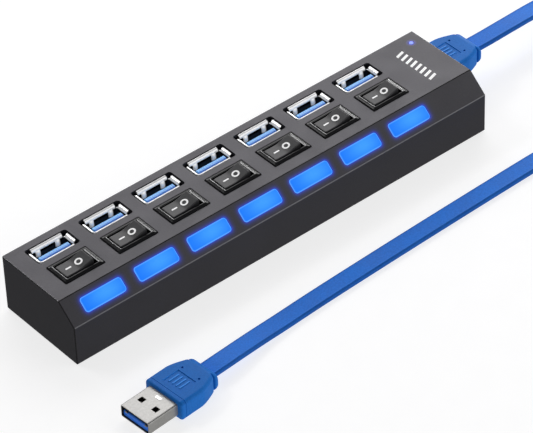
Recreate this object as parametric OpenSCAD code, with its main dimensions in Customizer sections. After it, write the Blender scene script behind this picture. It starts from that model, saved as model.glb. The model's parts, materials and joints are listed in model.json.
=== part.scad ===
// Seven-port USB hub: one rocker switch and one lit window for each port, on a flat captive cable.
// X runs along the housing towards the cable end, Y from the lit front edge to the back, Z up.
// The origin is the middle of the housing's footprint, on the surface that it stands on.

/* [Housing] */
// Length of the housing along X
case_length = 166; // [158:1:220]
// Depth of the housing from front to back
case_depth = 34.8; // [34.2:0.2:44]
// Height of the top face above the table
case_height = 21; // [20:0.5:28]
// Height above the table at which the front slope starts
slope_foot = 14.8; // [12:0.2:16]
// How far the front slope reaches back
slope_run = 7; // [6.4:0.2:8]
// Wall thickness of the top shell
wall = 1.8; // [1.2:0.1:2.2]
// Thickness of the base plate
base_thickness = 1.8; // [1.4:0.1:2.6]
// Gap round the base plate and between loose pieces
fit_gap = 0.15; // [0.1:0.05:0.25]

/* [Port row] */
// Distance between neighbouring ports
port_pitch = 20.4; // [20:0.1:21.6]
// Distance from the plain end face to the middle of the first port
first_port = 14; // [13.5:0.5:20]
// Distance from the back face to the middle of the ports
port_setback = 6.6; // [6.4:0.1:8]
// Gap between a port's flared mouth and the ends of its cut-out
port_end_gap = 0.55; // [0.2:0.05:0.8]
// Gap between a port's flared mouth and the sides of its cut-out
port_side_gap = 0.25; // [0.15:0.05:0.4]
// Width of a port's metal shell, outside
port_shell_width = 13.1; // [13:0.05:13.3]
// Height of a port's metal shell, outside
port_shell_height = 5.7; // [5.6:0.05:5.8]
// Thickness of the port's sheet metal
port_metal = 0.3; // [0.25:0.05:0.4]
// How far a port's mouth flares out on each side
port_flare = 0.8; // [0.5:0.1:0.9]

/* [Switches] */
// Distance from the port row to the switch row
switch_offset = 11.6; // [11.2:0.1:12]
// How far the switch bezel laps the top face at its ends
bezel_end_lap = 0.9; // [0.6:0.1:1.4]
// How far the switch bezel laps the top face at its sides
bezel_side_lap = 0.75; // [0.5:0.05:1]
// How far the bezel's rim stands above the top face
bezel_rise = 0.5; // [0.3:0.1:1.5]
// Length of the switch body below the top face
switch_length = 13.2; // [13:0.1:13.6]
// Width of the switch body below the top face
switch_width = 8.5; // [8.4:0.1:8.8]
// Depth of the switch body below the top face
switch_depth = 10.2; // [9.5:0.1:11]
// Wall thickness of the switch body
switch_wall = 0.7; // [0.6:0.05:0.75]
// Gap between the rocker and the ends of its opening
rocker_end_gap = 0.8; // [0.7:0.05:1]
// Gap between the rocker and the sides of its opening
rocker_side_gap = 0.55; // [0.4:0.05:0.7]
// Tilt of the rocker each way from level
rocker_tilt = 8; // [6:0.5:9]
// Depth of the rocker's pivot below the top face
pivot_depth = 2.6; // [2.4:0.1:3]
// Radius of the rocker's pivot pins
pivot_radius = 0.8; // [0.7:0.05:1]
// Gap round a pivot pin in its hole
pivot_gap = 0.05; // [0.03:0.01:0.08]

/* [Lit windows] */
// Length of a window
window_length = 15.6; // [12:0.1:16]
// Width of a window along the slope
window_width = 5; // [4:0.1:5.4]
// Corner radius of a window
window_radius = 1.1; // [0.4:0.1:2]

/* [Circuit board] */
// Height of the gap between the base plate and the board
board_gap = 2.8; // [2.2:0.1:3.4]
// Thickness of the board
board_thickness = 1.6; // [1:0.2:2]
// Gap between the board's edge and the housing wall
board_edge = 0.6; // [0.4:0.1:1]

/* [Cable and plug] */
// Width of the flat cable
cable_width = 6.8; // [6:0.1:8]
// Thickness of the flat cable
cable_thickness = 1.8; // [1.6:0.1:2.4]
// Width of the moulded grips
grip_width = 15.8; // [14:0.1:17]
// Thickness of the moulded grips
grip_thickness = 7; // [6.8:0.1:8]
// Length of a moulded grip
grip_length = 17; // [16:0.5:22]
// Width of the plug's metal shell
plug_width = 12; // [11.95:0.05:12.05]
// Height of the plug's metal shell
plug_height = 4.5; // [4.45:0.05:4.55]
// Length of the plug's metal shell ahead of its grip
plug_length = 11.5; // [11.25:0.25:12]

/* [Hidden] */
$fn = 32;
PORTS = 7;
foot_proud = 0.4;
foot_pocket = 0.4;
foot_radius = 4;
foot_inset = 11;
half_length = case_length / 2;
half_depth = case_depth / 2;
inner_length = case_length - 2 * wall;
inner_depth = case_depth - 2 * wall;
slope_rise = case_height - slope_foot;
slope_angle = atan2(slope_rise, slope_run);

// Rows and heights
port_y = half_depth - port_setback;
switch_y = port_y - switch_offset;
base_top = foot_proud + base_thickness;
board_bottom = base_top + board_gap;
board_top = board_bottom + board_thickness;
board_depth = inner_depth - 2 * board_edge;
board_length = inner_length - 2 * board_edge;
roof = case_height - wall;

// Screws stand halfway between two ports, in a front and a back row
screw_radius = 1;
screw_head_radius = 1.9;
screw_head_height = 1.2;
screw_sink = 0.2;
screw_bite = 6;
boss_radius = 2;
boss_hole_radius = 1.05;
pillar_radius = 2.6;
clearance_radius = 1.25;
front_screw_y = switch_y - switch_width / 2 - boss_radius;
SCREW_GAPS = [0, 5];

// Port shell
mouth_recess = 0.2;
flare_height = 0.7;
port_mouth = case_height - mouth_recess;
port_neck = port_mouth - flare_height;
port_cut_length = port_shell_width + 2 * (port_flare + port_end_gap);
port_cut_width = port_shell_height + 2 * (port_flare + port_side_gap);
cavity_width = port_shell_width - 2 * port_metal;
cavity_height = port_shell_height - 2 * port_metal;
tab_spacing = 7.4;
tab_width = 1.8;
tab_reach = 0.8;
tab_length = 4;
tab_steps = 9;
corner_notch = 0.8;

// Port tongue and contacts
tongue_width = 11.1;
tongue_thickness = 1.84;
tongue_offset = 0.66;
tongue_recess = 0.9;
tongue_base = 2.4;
contact_thickness = 0.12;
long_contact = [1, 6.2];
short_contact = [0.6, 1.2];
LONG_CONTACT_X = [-3.5, -1, 1, 3.5];
SHORT_CONTACT_X = [-4, -2, 0, 2, 4];

// Switch
switch_floor = 1;
bezel_edge = 0.2;
opening_length = switch_length - 2 * switch_wall;
opening_width = switch_width - 2 * switch_wall;
bezel_length = switch_length + 2 * bezel_end_lap;
bezel_width = switch_width + 2 * bezel_side_lap;
rocker_length = opening_length - 2 * rocker_end_gap;
rocker_width = opening_width - 2 * rocker_side_gap;
pivot_z = case_height - pivot_depth;
rocker_crown = pivot_depth + bezel_rise;
rocker_skirt = 2.4;
rocker_keel_depth = 4.2;
rocker_keel_width = 3;
pin_bite = 0.5;
terminal_size = [0.6, 3];
terminal_spread = 3.4;
terminal_stub = 1.2;
lug_reach = 0.5;
lug_height = 2.4;
lug_width = 3;

// Windows and lamps
window_flange = 0.7;
flange_thickness = 0.8;
window_gap = 0.1;
lamp_radius = 1.5;
lamp_y = -half_depth + slope_run / 2 + 2;
lamp_base = board_top + 2.6;
lamp_body = 3;
lead_size = 0.45;
baffle_thickness = 1.2;
baffle_front = -half_depth + wall / 2;
baffle_back = switch_y - switch_width / 2 - 0.8;
power_inset = wall + 2.7;
power_x = half_length - power_inset;
power_y = half_depth - power_inset;
light_pipe_radius = 0.8;
chip_height = 0.8;

// Cable entry and grips
entry_y = 8;
entry_z = 11.2;
neck_width = 11;
neck_height = 5;
flange_width = 14;
flange_height = 7;
grip_edge = 1;
grip_waist = 11.4;
grip_shoulder = 0.52;
collar_length = 2.1;
collar_width = 11.8;
collar_height = 5.4;
panel_size = [6.4, 7.6];
panel_depth = 0.25;
panel_start = 3.2;
dimple_radius = 0.4;
dimple_depth = 0.5;
dimple_spread = 3.6;
dimple_share = 0.65;
plug_rear = [-58.5, -48.1];
plug_yaw = 4;
plug_metal = 0.3;
window_size = [2, 2];
window_spread = 3;
window_start = 4.7;
insulator_thickness = 1.9;
insulator_recess = 0.6;

// The cable's route from the grip on the housing to the grip on the plug: x, y, z and roll.
// A roll of 90 degrees stands the flat cable on its narrow edge.
ROUTE = [
    [118, 8.5, 10.95, 0],
    [130, 9.6, 9.9, 4],
    [142, 10.8, 7.4, 28],
    [154, 11.6, 4.9, 62],
    [166, 12, 3.65, 88],
    [180, 12, 3.5, 90],
    [193, 8.6, 3.5, 90],
    [202.6, -1, 3.5, 90],
    [206, -14, 3.5, 90],
    [202.6, -27, 3.5, 90],
    [193, -36.6, 3.5, 90],
    [180, -40, 3.5, 90],
    [164, -40.2, 3.5, 84],
    [148, -40.2, 3.05, 52],
    [132, -40.2, 2, 20],
    [116, -40.2, 1.15, 2],
    [100, -40.3, 0.95, 0],
    [82, -40.4, 0.95, 0],
    [64, -40.8, 0.95, 0],
    [45, -41.3, 0.95, 0],
    [25, -41.9, 0.95, 0],
    [5, -42.6, 0.95, 0],
    [-12, -43.3, 0.95, 0],
    [-26, -44.2, 1.1, 0],
    [-38, -45.5, 2, 0],
];
straight_run = 7;
steps_per_span = 3;
section_chamfer = 0.5;

// Node names
function numbered(stem) = [for (i = [1 : PORTS]) str(stem, "_", i)];

// Places
function port_x(i) = -half_length + first_port + i * port_pitch;
function gap_x(i) = port_x(i) + port_pitch / 2;
SCREW_SPOTS = [for (i = SCREW_GAPS, y = [front_screw_y, port_y]) [gap_x(i), y]];

// Outlines
function corner(x, y, r, start) =
    [for (a = [start : 22.5 : start + 90]) [x + r * cos(a), y + r * sin(a)]];
function rounded(l, w, r) = concat(
    corner(l / 2 - r, w / 2 - r, r, 0),
    corner(-l / 2 + r, w / 2 - r, r, 90),
    corner(-l / 2 + r, -w / 2 + r, r, 180),
    corner(l / 2 - r, -w / 2 + r, r, 270)
);

// Shared shapes
module rounded_block(l, w, h, r) {
    linear_extrude(h) polygon(rounded(l, w, r));
}

module along_x(length) {
    rotate([90, 0, 90]) linear_extrude(length, center = true) children();
}

module along_y(length) {
    rotate([90, 0, 0]) linear_extrude(length, center = true) children();
}

module on_slope() {
    translate([0, -half_depth + slope_run / 2, slope_foot + slope_rise / 2])
        rotate([slope_angle, 0, 0]) children();
}

module each_port() {
    for (i = [0 : PORTS - 1]) translate([port_x(i), 0, 0]) children();
}

module each_screw() {
    for (spot = SCREW_SPOTS) translate([spot.x, spot.y, 0]) children();
}

module each_foot() {
    for (x = [-1, 1], y = [-1, 1])
        translate([x * (half_length - foot_inset), y * (half_depth - foot_radius - 3), 0]) children();
}

// Section of the housing, taken in by t on every side
module case_section(t = 0) {
    turn = t * tan(slope_angle / 2);
    lean = t * tan((90 - slope_angle) / 2);
    polygon([
        [-half_depth + t, t > 0 ? -1 : foot_proud],
        [half_depth - t, t > 0 ? -1 : foot_proud],
        [half_depth - t, case_height - t],
        [-half_depth + slope_run + turn, case_height - t],
        [-half_depth + t, slope_foot - lean],
    ]);
}

// Slot in the end wall that the cable's grip drops into, filled below by a tab of the base plate
entry_top = entry_z + neck_height / 2 + fit_gap;
entry_slot = neck_width + 2 * fit_gap;

module top_shell() {
    color("#4a494d") difference() {
        union() {
            difference() {
                along_x(case_length) case_section();
                along_x(inner_length) case_section(wall);
            }
            each_screw() translate([0, 0, board_top]) cylinder(r = boss_radius, h = roof - board_top + 0.5);
            intersection() {
                along_x(case_length) case_section();
                for (i = [0 : PORTS - 2])
                    translate([gap_x(i) - baffle_thickness / 2, baffle_front, lamp_base])
                        cube([baffle_thickness, baffle_back - baffle_front, case_height]);
            }
        }
        each_port() translate([0, port_y, roof - 1])
            rounded_block(port_cut_length, port_cut_width, wall + 2, 0.9);
        each_port() translate([0, switch_y, roof - 1])
            rounded_block(switch_length + 2 * fit_gap, switch_width + 2 * fit_gap, wall + 2, 0.3);
        each_port() on_slope() translate([0, 0, -wall - 1])
            rounded_block(window_length, window_width, wall + 2, window_radius);
        each_screw() translate([0, 0, board_top - 1]) cylinder(r = boss_hole_radius, h = screw_bite + 1.5);
        translate([power_x, power_y, roof - 1]) cylinder(r = light_pipe_radius + fit_gap, h = wall + 2);
        translate([half_length - wall - 1, entry_y - entry_slot / 2, 0])
            cube([wall + 2, entry_slot, entry_top]);
    }
}

module bottom_cover() {
    plate_length = inner_length - 2 * fit_gap;
    plate_depth = inner_depth - 2 * fit_gap;
    tab_depth = wall + board_edge - fit_gap;
    color("#29282b") difference() {
        union() {
            translate([-plate_length / 2, -plate_depth / 2, foot_proud])
                cube([plate_length, plate_depth, base_thickness]);
            each_screw() translate([0, 0, foot_proud])
                cylinder(r = pillar_radius, h = board_bottom - foot_proud);
            translate([half_length - tab_depth, entry_y - neck_width / 2, foot_proud])
                cube([tab_depth, neck_width, entry_z - neck_height / 2 - foot_proud - fit_gap]);
        }
        each_screw() translate([0, 0, foot_proud - 1])
            cylinder(r = screw_head_radius + fit_gap, h = screw_sink + screw_head_height + 1);
        each_screw() cylinder(r = clearance_radius, h = board_bottom + 1);
        each_foot() cylinder(r = foot_radius + fit_gap, h = foot_proud + foot_pocket);
    }
}

module case_screws() {
    head_bottom = foot_proud + screw_sink;
    shank = board_top + screw_bite - head_bottom - screw_head_height;
    color("#8d8f93") each_screw() translate([0, 0, head_bottom]) difference() {
        union() {
            cylinder(r = screw_head_radius, h = screw_head_height);
            translate([0, 0, screw_head_height]) cylinder(r = screw_radius, h = shank);
        }
        for (a = [0, 90]) rotate([0, 0, a]) translate([0, 0, 0.2]) cube([2.2, 0.5, 0.9], center = true);
    }
}

module rubber_feet() {
    color("#19191a") each_foot() cylinder(r = foot_radius, h = foot_proud + foot_pocket);
}

module main_board() {
    color("#1f5a34") difference() {
        translate([-board_length / 2, -board_depth / 2, board_bottom])
            cube([board_length, board_depth, board_thickness]);
        each_screw() translate([0, 0, board_bottom - 1])
            cylinder(r = clearance_radius, h = board_thickness + 2);
    }
}

module hub_chips() {
    for (i = [1, 3]) color("#17171a") translate([gap_x(i), switch_y, board_top])
        rounded_block(6, 6, 1, 0.3);
}

module board_parts() {
    canister_x = half_length - 9;
    color("#b9bbc0") for (y = [-9.5, -3]) translate([canister_x, y, board_top]) cylinder(r = 2.5, h = 6);
    color("#c9cacd") translate([gap_x(2), switch_y, board_top]) rounded_block(5, 3.2, 1.2, 0.4);
    color("#3a2f28") each_port() for (x = [-4, 4])
        translate([x - 1, lamp_y - 0.6, board_top]) cube([2, 1.2, 0.6]);
}

module power_lamp() {
    color("#cfd9e6") translate([power_x - 1, power_y - 0.6, board_top]) cube([2, 1.2, chip_height]);
}

module power_light_pipe() {
    start = board_top + chip_height + 0.2;
    color("#7db4ff") translate([power_x, power_y, start])
        cylinder(r = light_pipe_radius, h = case_height - start);
}

module port_lamps() {
    color("#9cc4ff") each_port() translate([0, lamp_y, lamp_base]) {
        cylinder(r = lamp_radius + 0.25, h = 0.8);
        cylinder(r = lamp_radius, h = lamp_body);
        translate([0, 0, lamp_body]) sphere(r = lamp_radius);
    }
}

module lamp_leads() {
    color("#c8c9cc") each_port() for (x = [-0.9, 0.9])
        translate([x - lead_size / 2, lamp_y - lead_size / 2, board_top])
            cube([lead_size, lead_size, lamp_base - board_top]);
}

module lit_window(i) {
    color("#1e7fff") translate([port_x(i), 0, 0]) on_slope() {
        translate([0, 0, -wall])
            rounded_block(window_length - 2 * window_gap, window_width - 2 * window_gap, wall, window_radius);
        translate([0, 0, -wall - flange_thickness]) rounded_block(window_length + 2 * window_flange,
            window_width + 2 * window_flange, flange_thickness, window_radius);
    }
}

// One sheet-metal flap of the flared mouth, on the +Y side of a shell that is h tall
module flare(length, h) {
    translate([0, h / 2, 0]) along_x(length) polygon([
        [-port_metal, port_neck - 0.2],
        [0, port_neck - 0.2],
        [0, port_neck],
        [port_flare, port_mouth],
        [port_flare - port_metal, port_mouth],
        [-port_metal, port_neck],
    ]);
}

// One spring tab: a strip that bows into the socket from the +Y wall, most near its upper end
function tab_bow(t) = tab_reach * sin(180 * pow(t, 1.6));
module spring_tab() {
    root_z = port_neck - tab_length;
    along_x(tab_width) polygon([
        for (k = [0 : tab_steps]) [-tab_bow(k / tab_steps), root_z + k * tab_length / tab_steps],
        for (k = [tab_steps : -1 : 0])
            [port_metal - tab_bow(k / tab_steps), root_z + k * tab_length / tab_steps]
    ]);
}

module port_shell(i) {
    inner_face = port_shell_height / 2 - port_metal;
    color("#d4d6d9") translate([port_x(i), port_y, 0]) {
        difference() {
            translate([0, 0, board_top])
                rounded_block(port_shell_width, port_shell_height, port_neck - board_top, 0.6);
            translate([0, 0, board_top - 1]) rounded_block(cavity_width, cavity_height, case_height, 0.4);
            for (x = [-1, 1]) translate([
                x * tab_spacing / 2 - tab_width / 2 - 0.3, inner_face - 0.5, port_neck - tab_length + 0.3
            ]) cube([tab_width + 0.6, port_metal + 1, tab_length - 0.6]);
        }
        for (x = [-1, 1]) translate([x * tab_spacing / 2, inner_face, 0]) spring_tab();
        for (a = [0, 180]) rotate([0, 0, a])
            flare(port_shell_width - 2 * corner_notch, port_shell_height);
        for (a = [90, 270]) rotate([0, 0, a])
            flare(port_shell_height - 2 * corner_notch, port_shell_width);
    }
}

tongue_front = -cavity_height / 2 + tongue_offset;
tongue_tip = port_mouth - tongue_recess;

module port_tongue(i) {
    color("#3f8be6") translate([port_x(i), port_y, 0]) {
        translate([0, 0, board_top])
            rounded_block(cavity_width - 0.2, cavity_height - 0.2, tongue_base, 0.4);
        translate([-tongue_width / 2, tongue_front, board_top])
            cube([tongue_width, tongue_thickness, tongue_tip - board_top]);
    }
}

module port_contacts() {
    face = port_y + tongue_front + tongue_thickness;
    color("#d9b866") each_port() {
        for (x = LONG_CONTACT_X) translate([x - long_contact.x / 2, face, tongue_tip - 2.4 - long_contact.y])
            cube([long_contact.x, contact_thickness, long_contact.y]);
        for (x = SHORT_CONTACT_X)
            translate([x - short_contact.x / 2, face, tongue_tip - 0.6 - short_contact.y])
                cube([short_contact.x, contact_thickness, short_contact.y]);
    }
}

// Snap lug on the +X end of a switch body, just under the roof
module snap_lug() {
    translate([switch_length / 2, 0, roof - 0.1]) along_y(lug_width)
        polygon([[-0.2, 0], [lug_reach, 0], [0, -lug_height], [-0.2, -lug_height]]);
}

module switch_body(i) {
    floor_z = case_height - switch_depth;
    color("#1d1d1f") translate([port_x(i), switch_y, 0]) difference() {
        union() {
            translate([0, 0, floor_z])
                rounded_block(switch_length, switch_width, switch_depth + 0.1, 0.3);
            hull() {
                translate([0, 0, case_height]) rounded_block(bezel_length, bezel_width, bezel_edge, 0.3);
                translate([0, 0, case_height]) rounded_block(
                    opening_length + 0.8, opening_width + 0.8, bezel_rise, 0.3);
            }
            for (a = [0, 180]) rotate([0, 0, a]) snap_lug();
        }
        translate([0, 0, floor_z + switch_floor])
            rounded_block(opening_length, opening_width, switch_depth + bezel_rise, 0.3);
        translate([0, 0, pivot_z]) rotate([90, 0, 0])
            cylinder(r = pivot_radius + pivot_gap, h = switch_width + 1, center = true);
        for (x = [-1, 1]) translate([x * terminal_spread, 0, floor_z])
            cube([terminal_size.x + 0.2, terminal_size.y + 0.2, 3 * switch_floor], center = true);
    }
}

module switch_terminals() {
    top = case_height - switch_depth + switch_floor + terminal_stub;
    color("#b8bcc2") each_port() for (x = [-1, 1])
        translate([x * terminal_spread - terminal_size.x / 2, switch_y - terminal_size.y / 2, board_top])
            cube([terminal_size.x, terminal_size.y, top - board_top]);
}

// The rocker rests with its -X half pressed, which is the on position
module rocker(i) {
    rise = rocker_length / 2 * tan(rocker_tilt);
    half = rocker_length / 2;
    color("#3d3d40") translate([port_x(i), switch_y, pivot_z]) rotate([0, -rocker_tilt, 0]) {
        along_y(rocker_width) polygon([
            [0, rocker_crown],
            [half, rocker_crown + rise],
            [half, -rocker_skirt],
            [rocker_keel_width / 2, -rocker_keel_depth],
            [-rocker_keel_width / 2, -rocker_keel_depth],
            [-half, -rocker_skirt],
            [-half, rocker_crown + rise],
        ]);
        rotate([90, 0, 0]) cylinder(r = pivot_radius, h = opening_width + 2 * pin_bite, center = true);
    }
}

header_x = half_length - 15;
inner_lead_radius = 0.5;
inner_lead_pitch = 1.2;
inner_lead_rise = 2.3;

module cable_header() {
    color("#e9e6da") translate([header_x - 2, entry_y - 5, board_top]) cube([4, 10, 3.2]);
}

module cable_leads() {
    start = header_x + 2;
    end = half_length - wall - 1.5 - fit_gap;
    LEAD_COLORS = ["#b6382e", "#e8e8e6", "#2f8a4c", "#202022", "#2d62b8", "#d9b53c"];
    for (k = [0 : len(LEAD_COLORS) - 1]) color(LEAD_COLORS[k])
        translate([start, entry_y + (k - 2.5) * inner_lead_pitch, board_top + inner_lead_rise])
            rotate([0, 90, 0]) cylinder(r = inner_lead_radius, h = end - start, $fn = 16);
}

// Half-plan of a grip: full width at the front, then in to the waist at the back
function grip_plan(inset) = let(
    front = grip_width / 2 - inset,
    waist = grip_waist / 2 - inset,
    back = grip_length - collar_length + 0.6
) [
    [inset, -front + 0.6], [inset + 0.6, -front], [grip_shoulder * grip_length, -front],
    [back * 0.84, -(front + waist) / 2 - 0.25], [back, -waist],
    [back, waist], [back * 0.84, (front + waist) / 2 + 0.25],
    [grip_shoulder * grip_length, front], [inset + 0.6, front], [inset, front - 0.6]
];

// A grip lies along +X from its front face at x = 0 and is centred on the X axis
module grip_body() {
    difference() {
        union() {
            hull() {
                translate([0, 0, -grip_thickness / 2 + grip_edge])
                    linear_extrude(grip_thickness - 2 * grip_edge) polygon(grip_plan(0));
                translate([0, 0, -grip_thickness / 2])
                    linear_extrude(grip_thickness) polygon(grip_plan(grip_edge * 0.7));
            }
            hull() for (s = [[0, 1, 1.8], [0.6, 0, 1.2], [1.3, 0, 1.2], [collar_length, 1.3, 1.4]])
                translate([grip_length - collar_length + s[0] - 0.01, 0, 0]) rotate([90, 0, 90])
                    linear_extrude(0.01) polygon(rounded(collar_width - s[1], collar_height - s[1], s[2]));
        }
        for (side = [-1, 1]) {
            translate([panel_start, -panel_size.y / 2, side > 0 ? grip_thickness / 2 - panel_depth
                : -grip_thickness / 2 - 1]) cube([panel_size.x, panel_size.y, panel_depth + 1]);
            for (y = [-1, 1]) translate([grip_length * dimple_share, y * dimple_spread,
                side * grip_thickness / 2 - dimple_depth]) cylinder(r = dimple_radius, h = 2 * dimple_depth);
        }
    }
}

module housing_grip() {
    color("#2a6ab4") translate([half_length, entry_y, entry_z]) {
        grip_body();
        translate([-wall - 1.5, -neck_width / 2, -neck_height / 2])
            cube([wall + 1.6, neck_width, neck_height]);
        translate([-wall - 1.5 - fit_gap, -flange_width / 2, -neck_height / 2])
            cube([1.5, flange_width, flange_height]);
    }
}

module at_plug() {
    translate([plug_rear.x, plug_rear.y, grip_thickness / 2]) rotate([0, 0, 180 + plug_yaw]) children();
}

module plug_grip() {
    color("#2a6ab4") at_plug() translate([grip_length, 0, 0]) mirror([1, 0, 0]) grip_body();
}

plug_start = grip_length;

module plug_shell() {
    color("#c9c8c4") at_plug() translate([plug_start, 0, 0]) difference() {
        union() {
            rotate([90, 0, 90]) rounded_block(plug_width, plug_height, plug_length, 0.4);
            translate([1.4, -1.2, plug_height / 2 - 0.1]) cube([1.3, 2.4, 0.22]);
        }
        translate([-1, 0, 0]) rotate([90, 0, 90])
            rounded_block(plug_width - 2 * plug_metal, plug_height - 2 * plug_metal, plug_length + 2, 0.2);
        for (y = [-1, 1]) translate([plug_length - window_start - window_size.x,
            y * window_spread - window_size.y / 2, -plug_height])
            cube([window_size.x, window_size.y, 2 * plug_height]);
    }
}

insulator_top = -plug_height / 2 + plug_metal + insulator_thickness;

module plug_insulator() {
    width = plug_width - 2 * plug_metal - 0.3;
    color("#2f7be0") at_plug() {
        translate([plug_start, -width / 2, insulator_top - insulator_thickness + 0.05])
            cube([plug_length - insulator_recess, width, insulator_thickness - 0.05]);
        translate([plug_start, -width / 2, insulator_top])
            cube([1.2, width, plug_height - 2 * plug_metal - insulator_thickness - 0.05]);
    }
}

module plug_contacts() {
    tip = plug_start + plug_length - insulator_recess;
    color("#d9b866") at_plug() {
        for (y = LONG_CONTACT_X)
            translate([tip - 1.2 - long_contact.y, y - long_contact.x / 2, insulator_top])
                cube([long_contact.y, long_contact.x, contact_thickness]);
        for (y = SHORT_CONTACT_X) translate([tip - 8.9, y - short_contact.x / 2, insulator_top])
            cube([short_contact.y, short_contact.x, 3 * contact_thickness]);
    }
}

// Cable
plug_way = [cos(plug_yaw), sin(plug_yaw), 0];
plug_exit = [plug_rear.x, plug_rear.y, grip_thickness / 2];
cable_exit = [half_length + grip_length, entry_y, entry_z];
function with_roll(p, roll) = [p.x, p.y, p.z, roll];
POINTS = concat(
    [with_roll(cable_exit, 0), with_roll(cable_exit + [straight_run, 0, 0], 0)],
    ROUTE,
    [with_roll(plug_exit + straight_run * plug_way, 0), with_roll(plug_exit, 0)]
);
function point(k) = k < 0 ? 2 * POINTS[0] - POINTS[1]
    : k >= len(POINTS) ? 2 * POINTS[len(POINTS) - 1] - POINTS[len(POINTS) - 2] : POINTS[k];
function blend(a, b, c, d, t) = b + 0.5 * t * (c - a + t * (2 * a - 5 * b + 4 * c - d
    + t * (3 * (b - c) + d - a)));
function route_at(s) = let(k = min(floor(s), len(POINTS) - 2))
    blend(point(k - 1), point(k), point(k + 1), point(k + 2), s - k);
RING_COUNT = (len(POINTS) - 1) * steps_per_span;
RINGS = [for (r = [0 : RING_COUNT]) route_at(r / steps_per_span)];
function place(r) = [RINGS[r].x, RINGS[r].y, RINGS[r].z];
function heading(r) = r == 0 ? [1, 0, 0]
    : r == RING_COUNT ? -plug_way
    : (place(r + 1) - place(r - 1)) / norm(place(r + 1) - place(r - 1));
SECTION = let(w = cable_width / 2, t = cable_thickness / 2, c = section_chamfer) [
    [w, -t + c], [w, t - c], [w - c, t], [-w + c, t], [-w, t - c], [-w, -t + c], [-w + c, -t], [w - c, -t]
];
function ring(r) = let(
    way = heading(r),
    level = [-way.y, way.x, 0] / norm([way.x, way.y]),
    over = cross(way, level),
    roll = RINGS[r][3],
    wide = level * cos(roll) + over * sin(roll),
    thin = over * cos(roll) - level * sin(roll)
) [for (p = SECTION) place(r) + p.x * wide + p.y * thin];

module cable() {
    sides = len(SECTION);
    corners = [for (r = [0 : RING_COUNT], p = ring(r)) p];
    walls = [for (r = [0 : RING_COUNT - 1], k = [0 : sides - 1]) let(
        a = r * sides + k,
        b = r * sides + (k + 1) % sides
    ) each [[a, b, b + sides], [a, b + sides, a + sides]]];
    start_cap = [for (k = [sides - 1 : -1 : 0]) k];
    end_cap = [for (k = [0 : sides - 1]) RING_COUNT * sides + k];
    color("#2f6cc0") polyhedron(corners, concat([start_cap, end_cap], walls));
}

top_shell();
bottom_cover();
case_screws();
rubber_feet();
main_board();
hub_chips();
board_parts();
power_lamp();
power_light_pipe();
port_lamps();
lamp_leads();
port_contacts();
switch_terminals();
cable_header();
cable_leads();
housing_grip();
cable();
plug_grip();
plug_shell();
plug_insulator();
plug_contacts();
for (i = [0 : PORTS - 1]) {
    lit_window(i);
    port_shell(i);
    port_tongue(i);
    switch_body(i);
    rocker(i);
}
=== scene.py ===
"""Looks of the seven-port USB hub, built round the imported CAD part. Metres, in the CAD frame."""
import json
import math

import bmesh
import bpy
from mathutils import Matrix, Vector


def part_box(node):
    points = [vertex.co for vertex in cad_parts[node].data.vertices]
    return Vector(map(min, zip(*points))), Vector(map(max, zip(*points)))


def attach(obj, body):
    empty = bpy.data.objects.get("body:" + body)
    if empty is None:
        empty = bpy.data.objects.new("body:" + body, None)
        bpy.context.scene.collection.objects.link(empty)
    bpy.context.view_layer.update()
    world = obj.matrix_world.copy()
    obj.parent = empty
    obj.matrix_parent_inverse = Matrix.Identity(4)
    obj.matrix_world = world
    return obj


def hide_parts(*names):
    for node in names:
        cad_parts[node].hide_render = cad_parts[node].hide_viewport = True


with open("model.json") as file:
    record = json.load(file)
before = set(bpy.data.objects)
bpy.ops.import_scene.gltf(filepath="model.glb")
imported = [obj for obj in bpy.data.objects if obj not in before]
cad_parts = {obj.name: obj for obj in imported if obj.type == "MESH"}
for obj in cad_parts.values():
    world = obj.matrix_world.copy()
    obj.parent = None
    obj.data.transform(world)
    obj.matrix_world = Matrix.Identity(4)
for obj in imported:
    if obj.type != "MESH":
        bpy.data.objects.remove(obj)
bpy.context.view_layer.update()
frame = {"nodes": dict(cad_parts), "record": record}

MM = 0.001
PORTS = 7
SLOPE_RUN = 7.0
SLOPE_FOOT = 14.8
CASE_HEIGHT = 21.0
SLOPE_ANGLE = math.atan2(CASE_HEIGHT - SLOPE_FOOT, SLOPE_RUN)


def millimetres(node):
    """Lowest and highest corner of a CAD node in millimetres."""
    low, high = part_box(node)
    return low / MM, high / MM


CASE_LOW, CASE_HIGH = millimetres("top_shell")
SHELLS = [millimetres(f"port_shell_{i + 1}") for i in range(PORTS)]
BODIES = [millimetres(f"switch_body_{i + 1}") for i in range(PORTS)]
PORT_SPOTS = [((low.x + high.x) / 2, (low.y + high.y) / 2) for low, high in SHELLS]
PORT_PITCH = PORT_SPOTS[1][0] - PORT_SPOTS[0][0]
SWITCH_SPOTS = [(PORT_SPOTS[i][0], (BODIES[i][0].y + BODIES[i][1].y) / 2) for i in range(PORTS)]
POWER_LOW, POWER_HIGH = millimetres("power_light_pipe")
POWER_SPOT = ((POWER_LOW.x + POWER_HIGH.x) / 2, (POWER_LOW.y + POWER_HIGH.y) / 2)
POWER_RADIUS = 0.9
SLOPE_MIDDLE = Vector((0, CASE_LOW.y + SLOPE_RUN / 2, (CASE_HEIGHT + SLOPE_FOOT) / 2))


# ---------------------------------------------------------------- camera, light and floor

CAMERA_PLACE = (-0.49802, -0.62678, 0.67348)
CAMERA_AZIMUTH = -38.774
CAMERA_ELEVATION = 40.069
CAMERA_ROLL = -2.309
CAMERA_LENS = 225.785


def outward(azimuth, elevation):
    """Unit vector from the object towards a viewer at that azimuth and elevation, in degrees."""
    a = math.radians(azimuth)
    e = math.radians(elevation)
    return Vector((math.sin(a) * math.cos(e), -math.cos(a) * math.cos(e), math.sin(e)))


def link(obj):
    bpy.context.scene.collection.objects.link(obj)
    return obj


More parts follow.
